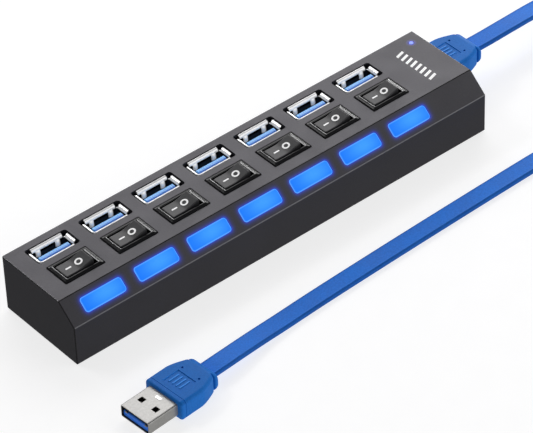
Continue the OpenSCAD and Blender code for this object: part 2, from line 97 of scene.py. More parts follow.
def make_camera():
    data = bpy.data.cameras.new("camera")
    data.sensor_width = 36
    data.sensor_fit = "HORIZONTAL"
    data.lens = CAMERA_LENS
    data.clip_start = 0.05
    data.clip_end = 30
    camera = link(bpy.data.objects.new("camera", data))
    back = outward(CAMERA_AZIMUTH, CAMERA_ELEVATION)
    right = Vector((math.cos(math.radians(CAMERA_AZIMUTH)), math.sin(math.radians(CAMERA_AZIMUTH)), 0))
    turn = Matrix((right, back.cross(right), back)).transposed()
    roll = Matrix.Rotation(math.radians(CAMERA_ROLL), 3, "Z")
    camera.matrix_world = Matrix.Translation(CAMERA_PLACE) @ (turn @ roll).to_4x4()
    bpy.context.scene.camera = camera


def make_softbox(name, direction, distance, size, radiance, tint):
    """A rectangular area light that faces the hub. Its radiance is 1 where it would show as plain white."""
    data = bpy.data.lights.new(name, "AREA")
    data.shape = "RECTANGLE"
    data.size = size[0]
    data.size_y = size[1]
    data.energy = radiance * math.pi * size[0] * size[1]
    data.color = tint
    light = link(bpy.data.objects.new(name, data))
    light.location = direction.normalized() * distance
    light.rotation_mode = "QUATERNION"
    light.rotation_quaternion = direction.to_track_quat("Z", "Y")


def make_lights():
    make_softbox("softbox_back", Vector((0.48, 0.6, 0.62)), 0.95, (1.0, 0.55), 2.7, (1, 0.99, 1))
    make_softbox("softbox_front", Vector((0.52, -0.58, 0.63)), 1.2, (0.7, 0.5), 1.1, (1, 1, 1))
    make_softbox("softbox_right", Vector((0.5, -0.86, 0.04)), 1.1, (0.7, 0.35), 2.2, (1, 1, 1))
    make_softbox("strip_left", Vector((-0.32, 0.6, 0.73)), 1.0, (0.3, 0.12), 13, (1, 1, 1))
    make_softbox("strip_right", Vector((0.78, 0.6, 0.17)), 1.0, (0.16, 0.1), 16, (1, 1, 1))


def make_world():
    """Pale to the camera, and a soft grey room to the object: brightest at the horizon, dark below it."""
    world = bpy.data.worlds.new("studio")
    bpy.context.scene.world = world
    world.use_nodes = True
    tree = world.node_tree
    direction = node(tree, "ShaderNodeTexCoord").outputs["Generated"]
    parts = node(tree, "ShaderNodeSeparateXYZ", Vector=direction).outputs
    ramp = node(tree, "ShaderNodeValToRGB", Fac=math_node(tree, "MULTIPLY_ADD", parts["Z"], 0.5, 0.5))
    set_ramp(ramp, [(0, 0.3), (0.48, 0.32), (0.52, 0.6), (0.74, 0.5), (0.86, 0.45), (0.92, 0.06), (1, 0.05)])
    to_right = map_range(tree, parts["X"], -0.8, 0.8, 0.45, 1.3)
    grey = ramp.outputs["Color"]
    room = node(tree, "ShaderNodeVectorMath", {"operation": "SCALE"}, Vector=grey, Scale=to_right)
    camera_ray = node(tree, "ShaderNodeLightPath").outputs["Is Camera Ray"]
    colour = mix_colour(tree, camera_ray, room.outputs[0], (0.96, 0.96, 0.965, 1))
    tree.links.new(colour, tree.nodes["Background"].inputs["Color"])


def make_floor():
    mesh = bpy.data.meshes.new("floor")
    reach = 4
    corners = [(-reach, -reach, 0), (reach, -reach, 0), (reach, reach, 0), (-reach, reach, 0)]
    mesh.from_pydata(corners, [], [(0, 1, 2, 3)])
    floor = link(bpy.data.objects.new("floor", mesh))
    material, tree, shader = blank_material("floor")
    noise = noise_node(tree, 120, 3)
    colour = mix_colour(tree, noise, (0.34, 0.34, 0.345, 1), (0.38, 0.38, 0.385, 1))
    tree.links.new(colour, shader.inputs["Base Color"])
    shader.inputs["Roughness"].default_value = 0.9
    shader.inputs["Specular IOR Level"].default_value = 0.1
    shader.inputs["Emission Color"].default_value = (1, 1, 1, 1)
    shader.inputs["Emission Strength"].default_value = 0.74
    mesh.materials.append(material)
    floor.visible_glossy = False


# ---------------------------------------------------------------- shader helpers


def node(tree, kind, settings=None, **sockets):
    """A new node. Keywords name its sockets, with _ for a space, and give a value or a link."""
    made = tree.nodes.new(kind)
    for key, value in (settings or {}).items():
        setattr(made, key, value)
    for key, value in sockets.items():
        connect(tree, value, made.inputs[key.replace("_", " ")])
    return made


def connect(tree, value, socket):
    if isinstance(value, bpy.types.NodeSocket):
        tree.links.new(value, socket)
    else:
        socket.default_value = value


def math_node(tree, operation, *values):
    made = node(tree, "ShaderNodeMath", {"operation": operation})
    for value, socket in zip(values, made.inputs):
        connect(tree, value, socket)
    return made.outputs[0]


def mix_colour(tree, factor, low, high):
    made = node(tree, "ShaderNodeMix", {"data_type": "RGBA"})
    connect(tree, factor, made.inputs[0])
    connect(tree, low, made.inputs[6])
    connect(tree, high, made.inputs[7])
    return made.outputs[2]


def map_range(tree, value, low, high, to_low, to_high, smooth=False):
    kind = "SMOOTHSTEP" if smooth else "LINEAR"
    made = node(tree, "ShaderNodeMapRange", {"interpolation_type": kind})
    for number, socket in zip((value, low, high, to_low, to_high), made.inputs):
        connect(tree, number, socket)
    return made.outputs[0]


def set_ramp(ramp, stops):
    """Grey stops, as (place, level) pairs."""
    elements = ramp.color_ramp.elements
    while len(elements) < len(stops):
        elements.new(1)
    for element, (place, level) in zip(elements, stops):
        element.position = place
        element.color = (level, level, level, 1)


def object_point(tree):
    return node(tree, "ShaderNodeTexCoord").outputs["Object"]


def noise_node(tree, scale, detail):
    """Noise with about that many features to the metre."""
    return node(tree, "ShaderNodeTexNoise", Vector=object_point(tree), Scale=scale, Detail=detail).outputs[0]


def blank_material(name):
    material = bpy.data.materials.new(name)
    material.use_nodes = True
    return material, material.node_tree, material.node_tree.nodes["Principled BSDF"]


PATCHES = 90


def make_surface(name, dark, light, rough, grain, depth, **sockets):
    """A moulded or rolled surface: broad patches of colour, a fine grain, and roughness that follows it."""
    material, tree, shader = blank_material(name)
    fine = noise_node(tree, grain, 2)
    broad = noise_node(tree, PATCHES, 3)
    blended = math_node(tree, "MULTIPLY_ADD", fine, 0.55, math_node(tree, "MULTIPLY", broad, 0.45))
    factor = map_range(tree, blended, 0.36, 0.64, 0, 1)
    colour = mix_colour(tree, factor, (*dark, 1), (*light, 1))
    tree.links.new(colour, shader.inputs["Base Color"])
    tree.links.new(map_range(tree, broad, 0.3, 0.7, rough[0], rough[1]), shader.inputs["Roughness"])
    bump = node(tree, "ShaderNodeBump", Height=fine, Strength=1.0, Distance=depth)
    tree.links.new(bump.outputs[0], shader.inputs["Normal"])
    for key, value in sockets.items():
        shader.inputs[key.replace("_", " ")].default_value = value
    return material


def opened(material, axes):
    """A material's tree and shader, and the point's place along each named axis in millimetres."""
    tree = material.node_tree
    point = node(tree, "ShaderNodeSeparateXYZ", Vector=object_point(tree)).outputs
    places = [math_node(tree, "DIVIDE", point[axis], MM) for axis in axes]
    return tree, tree.nodes["Principled BSDF"], *places


def repaint(tree, shader, socket, factor, new):
    """Mixes another colour over the one that already reaches a shader's socket."""
    old = shader.inputs[socket].links[0].from_socket
    tree.links.new(mix_colour(tree, factor, old, new), shader.inputs[socket])


# ---------------------------------------------------------------- mesh helpers


def rounded_rect(length, width, radius, steps=6):
    """Corners of a rounded rectangle about the origin, turning from +X to +Y."""
    points = []
    for x, y, start in ((1, 1, 0), (-1, 1, 90), (-1, -1, 180), (1, -1, 270)):
        for k in range(steps + 1):
            angle = math.radians(start + 90 * k / steps)
            centre = (x * (length / 2 - radius), y * (width / 2 - radius))
            points.append((centre[0] + radius * math.cos(angle), centre[1] + radius * math.sin(angle)))
    return points


def grown(size, by):
    """A length and width with that much more all round."""
    return (size[0] + 2 * by, size[1] + 2 * by)


def loft(bm, rings, closed=False):
    """Joins rings of points, in millimetres, that all have the same count."""
    rows = [[bm.verts.new(Vector(p) * MM) for p in ring] for ring in rings]
    count = len(rows[0])
    pairs = list(zip(rows, rows[1:])) + ([(rows[-1], rows[0])] if closed else [])
    for low, high in pairs:
        for k in range(count):
            bm.faces.new((low[k], low[(k + 1) % count], high[(k + 1) % count], high[k]))
    if not closed:
        bm.faces.new(list(reversed(rows[0])))
        bm.faces.new(rows[-1])


def stack(bm, layers, closed=False):
    """Joins level outlines in X and Y, each given with its height."""
    loft(bm, [[(x, y, z) for x, y in outline] for outline, z in layers], closed)


def prism(bm, outline, low, high):
    """An outline in X and Y, extruded from one height to another."""
    stack(bm, [(outline, low), (outline, high)])


def make_object(name, bm, smooth=35, weld=True):
    if weld:
        bmesh.ops.remove_doubles(bm, verts=bm.verts, dist=1e-7)
    bmesh.ops.recalc_face_normals(bm, faces=bm.faces)
    mesh = bpy.data.meshes.new(name)
    bm.to_mesh(mesh)
    bm.free()
    stored = mesh.attributes.get("custom_normal")
    if stored:
        mesh.attributes.remove(stored)
    shade(mesh, smooth)
    return flatten(link(bpy.data.objects.new(name, mesh)))


def shade(mesh, smooth):
    mesh.polygons.foreach_set("use_smooth", [True] * len(mesh.polygons))
    mesh.set_sharp_from_angle(angle=math.radians(smooth))


def keep(obj, modifier):
    """Makes a modifier's result the object's own mesh."""
    result = bpy.data.meshes.new_from_object(obj.evaluated_get(bpy.context.evaluated_depsgraph_get()))
    obj.modifiers.remove(modifier)
    obj.data = result


def flatten(obj):
    """Keeps large flat faces evenly shaded right up to the roundings beside them."""
    modifier = obj.modifiers.new("flatten", "WEIGHTED_NORMAL")
    modifier.keep_sharp = True
    modifier.weight = 90
    keep(obj, modifier)
    return obj


def copy_node(cad_node):
    """A welded copy of a CAD node's mesh, with its flat faces whole again."""
    bm = bmesh.new()
    bm.from_mesh(frame["nodes"][cad_node].data)
    bmesh.ops.remove_doubles(bm, verts=bm.verts, dist=3e-6)
    bmesh.ops.dissolve_limit(bm, angle_limit=math.radians(1), verts=bm.verts, edges=bm.edges)
    return bm


SHARP = math.radians(30)


def is_sharp(edge):
    return len(edge.link_faces) == 2 and edge.calc_face_angle(0) > SHARP


def bevel(bm, edges, width, segments):
    bmesh.ops.bevel(
        bm, geom=edges, offset=width * MM, offset_type="OFFSET", segments=segments,
        profile=0.5, affect="EDGES", clamp_overlap=True, loop_slide=True,
    )


def carve(obj, cutter):
    """Takes the cutter's shape out of an object, for good, and removes the cutter."""
    modifier = obj.modifiers.new("carve", "BOOLEAN")
    modifier.operation = "DIFFERENCE"
    modifier.solver = "EXACT"
    modifier.object = cutter
    keep(obj, modifier)
    bpy.data.objects.remove(cutter)


def set_materials(obj, *names):
    for name in names:
        obj.data.materials.append(MATERIALS[name])


def paint(obj, names, choose):
    """Gives a piece several materials, and each face the one whose number choose returns for it."""
    set_materials(obj, *names)
    for face in obj.data.polygons:
        face.material_index = int(choose(face))


def finish_piece(obj, body, slot, replaced=()):
    if not obj.data.materials:
        obj.data.materials.append(MATERIALS[slot])
    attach(obj, body)
    if replaced:
        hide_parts(*replaced)
    return obj


def copies(obj, name, spots, body, slot, stem):
    """Copies of one piece at every spot, one for each port, in place of the CAD nodes with that stem."""
    for i, (x, y) in enumerate(spots):
        one = link(bpy.data.objects.new(f"{name}_{i + 1}", obj.data))
        one.matrix_world = Matrix.Translation(Vector((x, y, 0)) * MM) @ obj.matrix_world
        replaced = [f"{stem}_{i + 1}"] if stem else []
        finish_piece(one, body(i), slot, replaced)
    bpy.data.objects.remove(obj)


def on_root(_):
    return "root"


def on_rocker(i):
    return f"rocker_{i + 1}"


# ---------------------------------------------------------------- cable

CABLE_WIDTH = 6.8
CABLE_THICKNESS = 1.8
CABLE_EXIT = (100.0, 8.0, 11.2)
PLUG_EXIT = (-58.5, -48.1, 3.5)
PLUG_YAW = 4
STRAIGHT_RUN = 7
CABLE_ROUNDING = 0.62
VALLEY_DEPTH = 0.07
CABLE_SIDE = 2.6
RING_STEPS = 6
# The route that the CAD cable follows: x, y, z in millimetres and roll in degrees
ROUTE = [
    (118, 8.5, 10.95, 0), (130, 9.6, 9.9, 4), (142, 10.8, 7.4, 28), (154, 11.6, 4.9, 62),
    (166, 12, 3.65, 88), (180, 12, 3.5, 90), (193, 8.6, 3.5, 90), (202.6, -1, 3.5, 90),
    (206, -14, 3.5, 90), (202.6, -27, 3.5, 90), (193, -36.6, 3.5, 90), (180, -40, 3.5, 90),
    (164, -40.2, 3.5, 84), (148, -40.2, 3.05, 52), (132, -40.2, 2, 20), (116, -40.2, 1.15, 2),
    (100, -40.3, 0.95, 0), (82, -40.4, 0.95, 0), (64, -40.8, 0.95, 0), (45, -41.3, 0.95, 0),
    (25, -41.9, 0.95, 0), (5, -42.6, 0.95, 0), (-12, -43.3, 0.95, 0), (-26, -44.2, 1.1, 0),
    (-38, -45.5, 2, 0),
]
PLUG_WAY = Vector((math.cos(math.radians(PLUG_YAW)), math.sin(math.radians(PLUG_YAW)), 0))


def cable_points():
    start = Vector(CABLE_EXIT)
    end = Vector(PLUG_EXIT)
    first = [(*start, 0), (*(start + Vector((STRAIGHT_RUN, 0, 0))), 0)]
    last = [(*(end + STRAIGHT_RUN * PLUG_WAY), 0), (*end, 0)]
    return [Vector(p) for p in first + ROUTE + last]


def cable_stations():
    """Centre and roll along the cable, on a smooth curve through the route's points."""
    points = cable_points()
    points = [2 * points[0] - points[1], *points, 2 * points[-1] - points[-2]]
    stations = []
    for k in range(1, len(points) - 2):
        a, b, c, d = points[k - 1:k + 3]
        for step in range(RING_STEPS):
            t = step / RING_STEPS
            third = 3 * (b - c) + d - a
            second = 2 * a - 5 * b + 4 * c - d
            stations.append(b + 0.5 * t * (c - a + t * (second + t * third)))
    stations.append(points[-2])
    return stations


def cable_section():
    """A flat jacket with rounded edges, and two shallow valleys between its outer cords and its middle."""
    outline = []
    for y, z in rounded_rect(CABLE_WIDTH, CABLE_THICKNESS, CABLE_ROUNDING, 6):
        outline.append((y, z))
        if abs(y) <= CABLE_WIDTH / 2 - CABLE_ROUNDING + 1e-6 and y * z > 0:
            border = math.copysign(1, y)
            face = math.copysign(1, z)
            low = z - face * VALLEY_DEPTH
            middle = z - face * VALLEY_DEPTH * 0.5
            outline += [(border * 2.5, z), (border * 2.36, low), (border * 2.2, middle)]
            outline += [(-border * 2.2, middle), (-border * 2.36, low), (-border * 2.5, z)]
    return outline


def make_cable():
    stations = cable_stations()
    centres = [Vector(s[:3]) for s in stations]
    rings = []
    for k, station in enumerate(stations):
        way = (centres[min(k + 1, len(centres) - 1)] - centres[max(k - 1, 0)]).normalized()
        way = Vector((1, 0, 0)) if k == 0 else -PLUG_WAY if k == len(centres) - 1 else way
        level = Vector((-way.y, way.x, 0)).normalized()
        over = way.cross(level)
        roll = math.radians(station[3])
        wide = level * math.cos(roll) + over * math.sin(roll)
        thin = over * math.cos(roll) - level * math.sin(roll)
        rings.append([centres[k] + wide * y + thin * z for y, z in cable_section()])
    bm = bmesh.new()
    loft(bm, rings)
    cable = make_object("cable_jacket", bm, 50)
    shade_sides(cable)
    finish_piece(cable, "root", "cable_blue", ["cable"])
    path = [tuple(c * MM) for c in centres]
    length = sum((b - a).length for a, b in zip(centres, centres[1:])) * MM
    return cable, path, round(length, 3)


def shade_sides(cable):
    """Painted shade: a darker blue down the two narrow sides of the jacket."""
    section = cable_section()
    count = len(section)

    def on_side(face):
        ends = (section[face.index % count], section[(face.index + 1) % count])
        return min(abs(y) for y, _ in ends) > CABLE_SIDE

    paint(cable, ("cable_blue", "cable_side_shade"), on_side)


# ---------------------------------------------------------------- moulded grips

GRIP_LENGTH = 17.0
GRIP_WIDTH = 15.8
GRIP_THICKNESS = 7.0
GRIP_WAIST = 11.4
GRIP_STRAIGHT = 8.2
GRIP_CORNER = 1.25
COLLAR_LENGTH = 2.1
PANEL_START = 3.2
PANEL_LENGTH = 6.4
PANEL_HALF = 3.8
PANEL_DEPTH = 0.25
PANEL_SLOPE = 0.09
RIDGE_LENGTH = PANEL_LENGTH - 2.2
RIDGE_WIDTH = 0.55
RIDGE_PLACES = (-2.25, -0.75, 0.75, 2.25)
DIMPLE_SPREAD = 3.6
DIMPLE_PLACE = 11.05
DIMPLE_RADIUS = 0.42
DIMPLE_DEPTH = 0.5
# Size across, start and end of the neck through the wall and of the flange inside it
NECK_PARTS = (((11, 5), -1.85, 0.3), ((14, 7), -3.35, -1.85))


def grip_half_width(x):
    """Half the grip's width at x from its front face: straight, then a long curve in to the waist."""
    body_end = GRIP_LENGTH - COLLAR_LENGTH
    bend = max(0, (x - GRIP_STRAIGHT) / (body_end - GRIP_STRAIGHT))
    return GRIP_WIDTH / 2 - (GRIP_WIDTH - GRIP_WAIST) / 2 * bend ** 1.4


def grip_ring(x, half_width, half_height, radius, panel):
    """A rounded section across the grip, with the panel sunk into its top and bottom."""
    reach = min(PANEL_HALF, half_width - radius - 0.1)
    sink = PANEL_DEPTH * panel
    inner = [(0, sink), (reach / 2, sink), (reach - PANEL_SLOPE, sink), (reach, 0)]
    top = [(-y, half_height - drop) for y, drop in reversed(inner)]
    top += [(y, half_height - drop) for y, drop in inner[1:]]
    corner = []
    for k in range(7):
        angle = math.radians(90 - 90 * k / 6)
        corner.append((
            half_width - radius + radius * math.cos(angle),
            half_height - radius + radius * math.sin(angle),
        ))
    upper = [(-y, z) for y, z in reversed(corner)] + top + corner
    lower = [(y, -z) for y, z in reversed(upper)]
    return [(x, y, z) for y, z in upper + lower]


def grip_stations():
    """x, inset of the section, and share of the panel's depth, from the front face to the notch."""
    rounding = 0.62
    stations = []
    for k in range(5):
        angle = math.radians(90 * k / 4)
        stations.append((rounding * (1 - math.cos(angle)), rounding * (1 - math.sin(angle)), 0))
    stations += [(1.45, 0, 0), (1.55, 0.12, 0), (1.75, 0.12, 0), (1.85, 0, 0)]
    stations += [(PANEL_START, 0, 0), (PANEL_START + PANEL_SLOPE, 0, 1)]
    panel_end = PANEL_START + PANEL_LENGTH
    stations += [(6.4, 0, 1), (GRIP_STRAIGHT, 0, 1), (panel_end - PANEL_SLOPE, 0, 1), (panel_end, 0, 0)]
    stations += [(10.6 + 0.55 * k, 0, 0) for k in range(8)]
    return stations


# Along from the notch, half width, half height and corner radius
COLLAR_SECTIONS = (
    (-0.15, 5.62, 3.47, 1.3), (0.1, 5.05, 3.4, 1.35), (0.25, 4.95, 3.34, 1.4), (0.4, 5.45, 3.3, 1.5),
    (0.5, 5.7, 3.26, 1.6), (0.7, 5.85, 3.18, 1.7), (0.95, 5.9, 3.06, 1.75), (1.25, 5.88, 2.9, 1.75),
    (1.55, 5.78, 2.68, 1.7), (1.8, 5.58, 2.4, 1.6), (1.98, 5.32, 2.12, 1.45), (2.07, 5.05, 1.86, 1.3),
    (2.1, 4.8, 1.6, 1.15),
)


def collar_rings():
    """The collar behind the grip: notched at its sides only, and closing round the cable."""
    start = GRIP_LENGTH - COLLAR_LENGTH
    return [grip_ring(start + along, *size, 0) for along, *size in COLLAR_SECTIONS]


def dimple_cutter():
    """Short tapered pins where the grip's four dimples go."""
    bm = bmesh.new()
    ring = [(math.cos(k * math.pi / 10), math.sin(k * math.pi / 10)) for k in range(20)]
    for side in (-1, 1):
        face = GRIP_THICKNESS / 2
        rows = [(DIMPLE_RADIUS * 0.8, side * (face - DIMPLE_DEPTH)), (DIMPLE_RADIUS, side * face)]
        rows.append((DIMPLE_RADIUS, side * 6))
        for y in (-DIMPLE_SPREAD, DIMPLE_SPREAD):
            loft(bm, [[(DIMPLE_PLACE + r * c, y + r * s, z) for c, s in ring] for r, z in rows])
    return make_object("cutter", bm)


def carved_body():
    """The grip's body with its dimples, as an editable mesh whose flat faces are whole."""
    bm = bmesh.new()
    rings = []
    for x, inset, panel in grip_stations():
        half_width = grip_half_width(x) - inset
        rings.append(grip_ring(x, half_width, GRIP_THICKNESS / 2 - inset, GRIP_CORNER, panel))
    loft(bm, rings + collar_rings())
    body = make_object("grip_body", bm, 40, weld=False)
    carve(body, dimple_cutter())
    bm = bmesh.new()
    bm.from_mesh(body.data)
    bmesh.ops.dissolve_limit(bm, angle_limit=math.radians(0.5), verts=bm.verts, edges=bm.edges)
    bpy.data.objects.remove(body)
    return bm


def make_grip(name, neck=False):
    """A soft moulded grip that lies along +X from its front face, with the neck that enters the housing."""
    bm = carved_body()
    for y in RIDGE_PLACES:
        add_panel_ridge(bm, y)
    if neck:
        for size, start, end in NECK_PARTS:
            outline = rounded_rect(*size, 0.5, 4)
            loft(bm, [[(x, y, z) for y, z in outline] for x in (start, end)])
    grip = make_object(name, bm, 40, weld=False)
    highlight_ridges(grip)
    return grip


def highlight_ridges(grip):
    """Paler blue with a glow, painted as highlights on the raised ridges and on the long walls of the
    panels.
    """
    grip.data.materials.clear()
    floor = GRIP_THICKNESS / 2 - PANEL_DEPTH

    def highlighted(face):
        x, y, z = face.center / MM
        inside = PANEL_START < x < PANEL_START + PANEL_LENGTH and abs(y) < PANEL_HALF
        raised = floor + 0.02 < abs(z) < GRIP_THICKNESS / 2 - 0.02
        return inside and raised and abs(face.normal.x) < 0.5

    paint(grip, ("grip_blue", "grip_highlight"), highlighted)


def add_panel_ridge(bm, y):
    """A low plain ridge along a grip's panel, above and below."""
    start = PANEL_START + 1.1
    for side in (-1, 1):
        floor = GRIP_THICKNESS / 2 - PANEL_DEPTH
        rows = []
        for inset, z in ((0, floor - 0.1), (0, floor + 0.12), (0.08, floor + 0.21)):
            outline = rounded_rect(RIDGE_LENGTH - 2 * inset, RIDGE_WIDTH - 2 * inset, 0.14, 3)
            rows.append([(start + RIDGE_LENGTH / 2 + px, y + py, side * z) for px, py in outline])
        loft(bm, rows)


# ---------------------------------------------------------------- materials

DULL = {"Specular IOR Level": 0.12}
SOFT_GLOSS = {"Specular IOR Level": 0.38}
WHITE = (1, 1, 1, 1)
SURFACES = {
    # name: (dark, light, roughness range, grain per metre, bump depth, other sockets)
    "base_plastic": ((0.011, 0.011, 0.0125), (0.019, 0.019, 0.021), (0.5, 0.62), 2600, 2e-5, {}),
    "screw_steel": ((0.34, 0.34, 0.35), (0.5, 0.5, 0.51), (0.25, 0.4), 3000, 5e-6, {"Metallic": 1.0}),
    "foot_rubber": ((0.012, 0.012, 0.012), (0.022, 0.022, 0.022), (0.75, 0.9), 1800, 4e-5, {}),
    "board_green": ((0.008, 0.1, 0.035), (0.014, 0.15, 0.06), (0.25, 0.35), 700, 6e-6, {}),
    "chip_black": ((0.01, 0.01, 0.011), (0.02, 0.02, 0.021), (0.5, 0.6), 5000, 8e-6, {}),
    "part_metal": ((0.5, 0.51, 0.53), (0.66, 0.67, 0.69), (0.25, 0.38), 2500, 4e-6, {"Metallic": 1.0}),
    "lamp_clear": ((0.36, 0.55, 0.9), (0.46, 0.66, 1.0), (0.08, 0.15), 900, 2e-6, {}),
    "lead_tin": ((0.5, 0.5, 0.52), (0.68, 0.68, 0.7), (0.28, 0.4), 4000, 3e-6, {"Metallic": 1.0}),
    "contact_gold": ((0.7, 0.5, 0.2), (0.85, 0.64, 0.3), (0.2, 0.32), 4000, 2e-6, {"Metallic": 1.0}),
    "bezel_black": ((0.004, 0.004, 0.005), (0.008, 0.008, 0.0095), (0.09, 0.15), 2400, 1.5e-6, {}),
    "rocker_grey": ((0.018, 0.018, 0.02), (0.03, 0.03, 0.033), (0.3, 0.38), 2600, 8e-6, SOFT_GLOSS),
    "header_nylon": ((0.7, 0.68, 0.6), (0.8, 0.78, 0.7), (0.45, 0.55), 900, 8e-6, {}),
    "lead_wire": ((0.36, 0.05, 0.04), (0.5, 0.08, 0.06), (0.35, 0.45), 900, 4e-6, {}),
    "grip_blue": ((0.008, 0.145, 0.54), (0.011, 0.18, 0.64), (0.42, 0.52), 2200, 1.6e-5, DULL),
    "cable_blue": ((0.01, 0.165, 0.7), (0.014, 0.21, 0.84), (0.4, 0.5), 1900, 1.2e-5, DULL),
    "plug_steel": ((0.385, 0.38, 0.365), (0.465, 0.46, 0.445), (0.3, 0.38), 1600, 4e-6, {"Metallic": 0.45}),
    "plug_blue": ((0.03, 0.2, 0.9), (0.04, 0.25, 1.0), (0.3, 0.4), 1500, 4e-6, {}),
    "port_steel": ((0.62, 0.625, 0.64), (0.78, 0.785, 0.8), (0.16, 0.24), 1400, 3e-6, {"Metallic": 1.0}),
    # White print, with a small glow painted on so it reads brighter than its lighting gives.
    "mark_white": (
        (0.86, 0.86, 0.86), (0.95, 0.95, 0.95), (0.4, 0.5), 2500, 4e-6,
        {"Emission Color": WHITE, "Emission Strength": 0.2},
    ),
    # Painted highlight: paler blue with a glow, on the grips' ridges and panel walls.
    "grip_highlight": (
        (0.02, 0.24, 0.78), (0.03, 0.28, 0.86), (0.4, 0.5), 2200, 1e-5,
        {"Specular IOR Level": 0.2, "Emission Color": (0.02, 0.2, 0.6, 1), "Emission Strength": 0.12},
    ),
    # Painted shade: darker blue on the cable's narrow sides.
    "cable_side_shade": (
        (0.005, 0.09, 0.4), (0.008, 0.12, 0.5), (0.4, 0.5), 1900, 1.2e-5, {"Specular IOR Level": 0.1},
    ),
    # Painted highlight: pale with a glow, on the switch frames' inner edges at their ends.
    "frame_highlight": (
        (0.62, 0.62, 0.63), (0.72, 0.72, 0.73), (0.2, 0.28), 2400, 2e-6,
        {"Emission Color": WHITE, "Emission Strength": 0.16},
    ),
    # Painted highlight: pale with a glow, on the plug's pad and joint.
    "plug_highlight": (
        (0.8, 0.8, 0.8), (0.9, 0.9, 0.89), (0.25, 0.32), 1600, 2e-6,
        {"Metallic": 0.5, "Emission Color": WHITE, "Emission Strength": 0.1},
    ),
    # Painted shade: matte near-black on the outer strip of each switch frame, for the gap round it.
    "frame_gap_shade": (
        (0.002, 0.002, 0.0025), (0.005, 0.005, 0.006), (0.6, 0.7), 2200, 3e-6, {"Specular IOR Level": 0.05},
    ),
    # Painted shade: a dark line on the rounding between the housing's top and its slope.
    "fold_shade": (
        (0.006, 0.006, 0.0065), (0.011, 0.011, 0.012), (0.5, 0.6), 2300, 1e-5, {"Specular IOR Level": 0.1},
    ),
    # Painted highlight: pale plating with a glow, on the sockets' flaps and the springs' ends.
    "port_lip_highlight": (
        (0.72, 0.72, 0.73), (0.86, 0.86, 0.87), (0.22, 0.3), 1400, 3e-6,
        {"Metallic": 0.5, "Emission Color": WHITE, "Emission Strength": 0.2},
    ),
    # Painted shade: near-black for the insides of the sockets and the plug shell, and the top of the plug's
    # block, where shade falls.
    "port_painted_shade": ((0.01, 0.01, 0.011), (0.022, 0.022, 0.024), (0.5, 0.6), 1500, 3e-6, {}),
}
GLOW_REACH = 0.46
WINDOW_SIZE = (15.6, 5.0)
WINDOW_RADIUS = 1.1


def window_distance(tree, along, across):
    """Distance in millimetres outside a window's rounded outline; along and across start at its middle."""
    parts = []
    for value, size in ((along, WINDOW_SIZE[0]), (across, WINDOW_SIZE[1])):
        past = math_node(tree, "SUBTRACT", math_node(tree, "ABSOLUTE", value), size / 2 - WINDOW_RADIUS)
        outside = math_node(tree, "MAXIMUM", past, 0)
        parts.append(math_node(tree, "MULTIPLY", outside, outside))
    reach = math_node(tree, "SQRT", math_node(tree, "ADD", *parts))
    return math_node(tree, "SUBTRACT", reach, WINDOW_RADIUS)


def make_shell_plastic():
    """Black grained plastic, with the blue light round the lit windows and the power light painted on as a
    glow.
    """
    material = make_surface(
        "shell_plastic", (0.0085, 0.0082, 0.0104), (0.0155, 0.015, 0.0185), (0.42, 0.5), 2300, 2.2e-5,
        IOR=1.6, Specular_Tint=(0.94, 0.92, 1.0, 1),
    )
    tree, shader, x, y, z = opened(material, "XYZ")
    first = PORT_SPOTS[0][0] - PORT_PITCH / 2
    turned = math_node(tree, "FLOORED_MODULO", math_node(tree, "SUBTRACT", x, first), PORT_PITCH)
    along = math_node(tree, "SUBTRACT", turned, PORT_PITCH / 2)
    behind = math_node(tree, "SUBTRACT", y, SLOPE_MIDDLE.y)
    forward = math_node(tree, "MULTIPLY", behind, math.cos(SLOPE_ANGLE))
    upward = math_node(tree, "SUBTRACT", z, SLOPE_MIDDLE.z)
    across = math_node(tree, "MULTIPLY_ADD", upward, math.sin(SLOPE_ANGLE), forward)
    distance = window_distance(tree, along, across)
    # Painted glow: the windows' blue light spill on the plastic, fading outward from each window.
    fade = math_node(tree, "EXPONENT", math_node(tree, "DIVIDE", distance, -GLOW_REACH))
    on_front = math_node(tree, "LESS_THAN", y, SLOPE_MIDDLE.y + SLOPE_RUN / 2 + 0.4)
    row_middle = (PORT_SPOTS[0][0] + PORT_SPOTS[-1][0]) / 2
    in_row = math_node(tree, "COMPARE", x, row_middle, PORT_PITCH * PORTS / 2)
    glow = math_node(tree, "MULTIPLY", math_node(tree, "MULTIPLY", fade, on_front), in_row)
    colour = mix_colour(tree, math_node(tree, "MINIMUM", glow, 1), (0, 0, 0, 1), (0.004, 0.028, 0.44, 1))
    from_power = line_distance(tree, x, y, *POWER_SPOT)
    near = map_range(tree, from_power, POWER_RADIUS, 2.2 * POWER_RADIUS, 1, 0, smooth=True)
    halo = math_node(tree, "MULTIPLY", near, math_node(tree, "GREATER_THAN", z, CASE_HEIGHT - 0.3))
    shader_glow = mix_colour(tree, halo, colour, (0.03, 0.03, 0.22, 1))
    tree.links.new(shader_glow, shader.inputs["Emission Color"])
    shader.inputs["Emission Strength"].default_value = 1.0
    draw_edges(tree, shader, x, y, z)
    return material


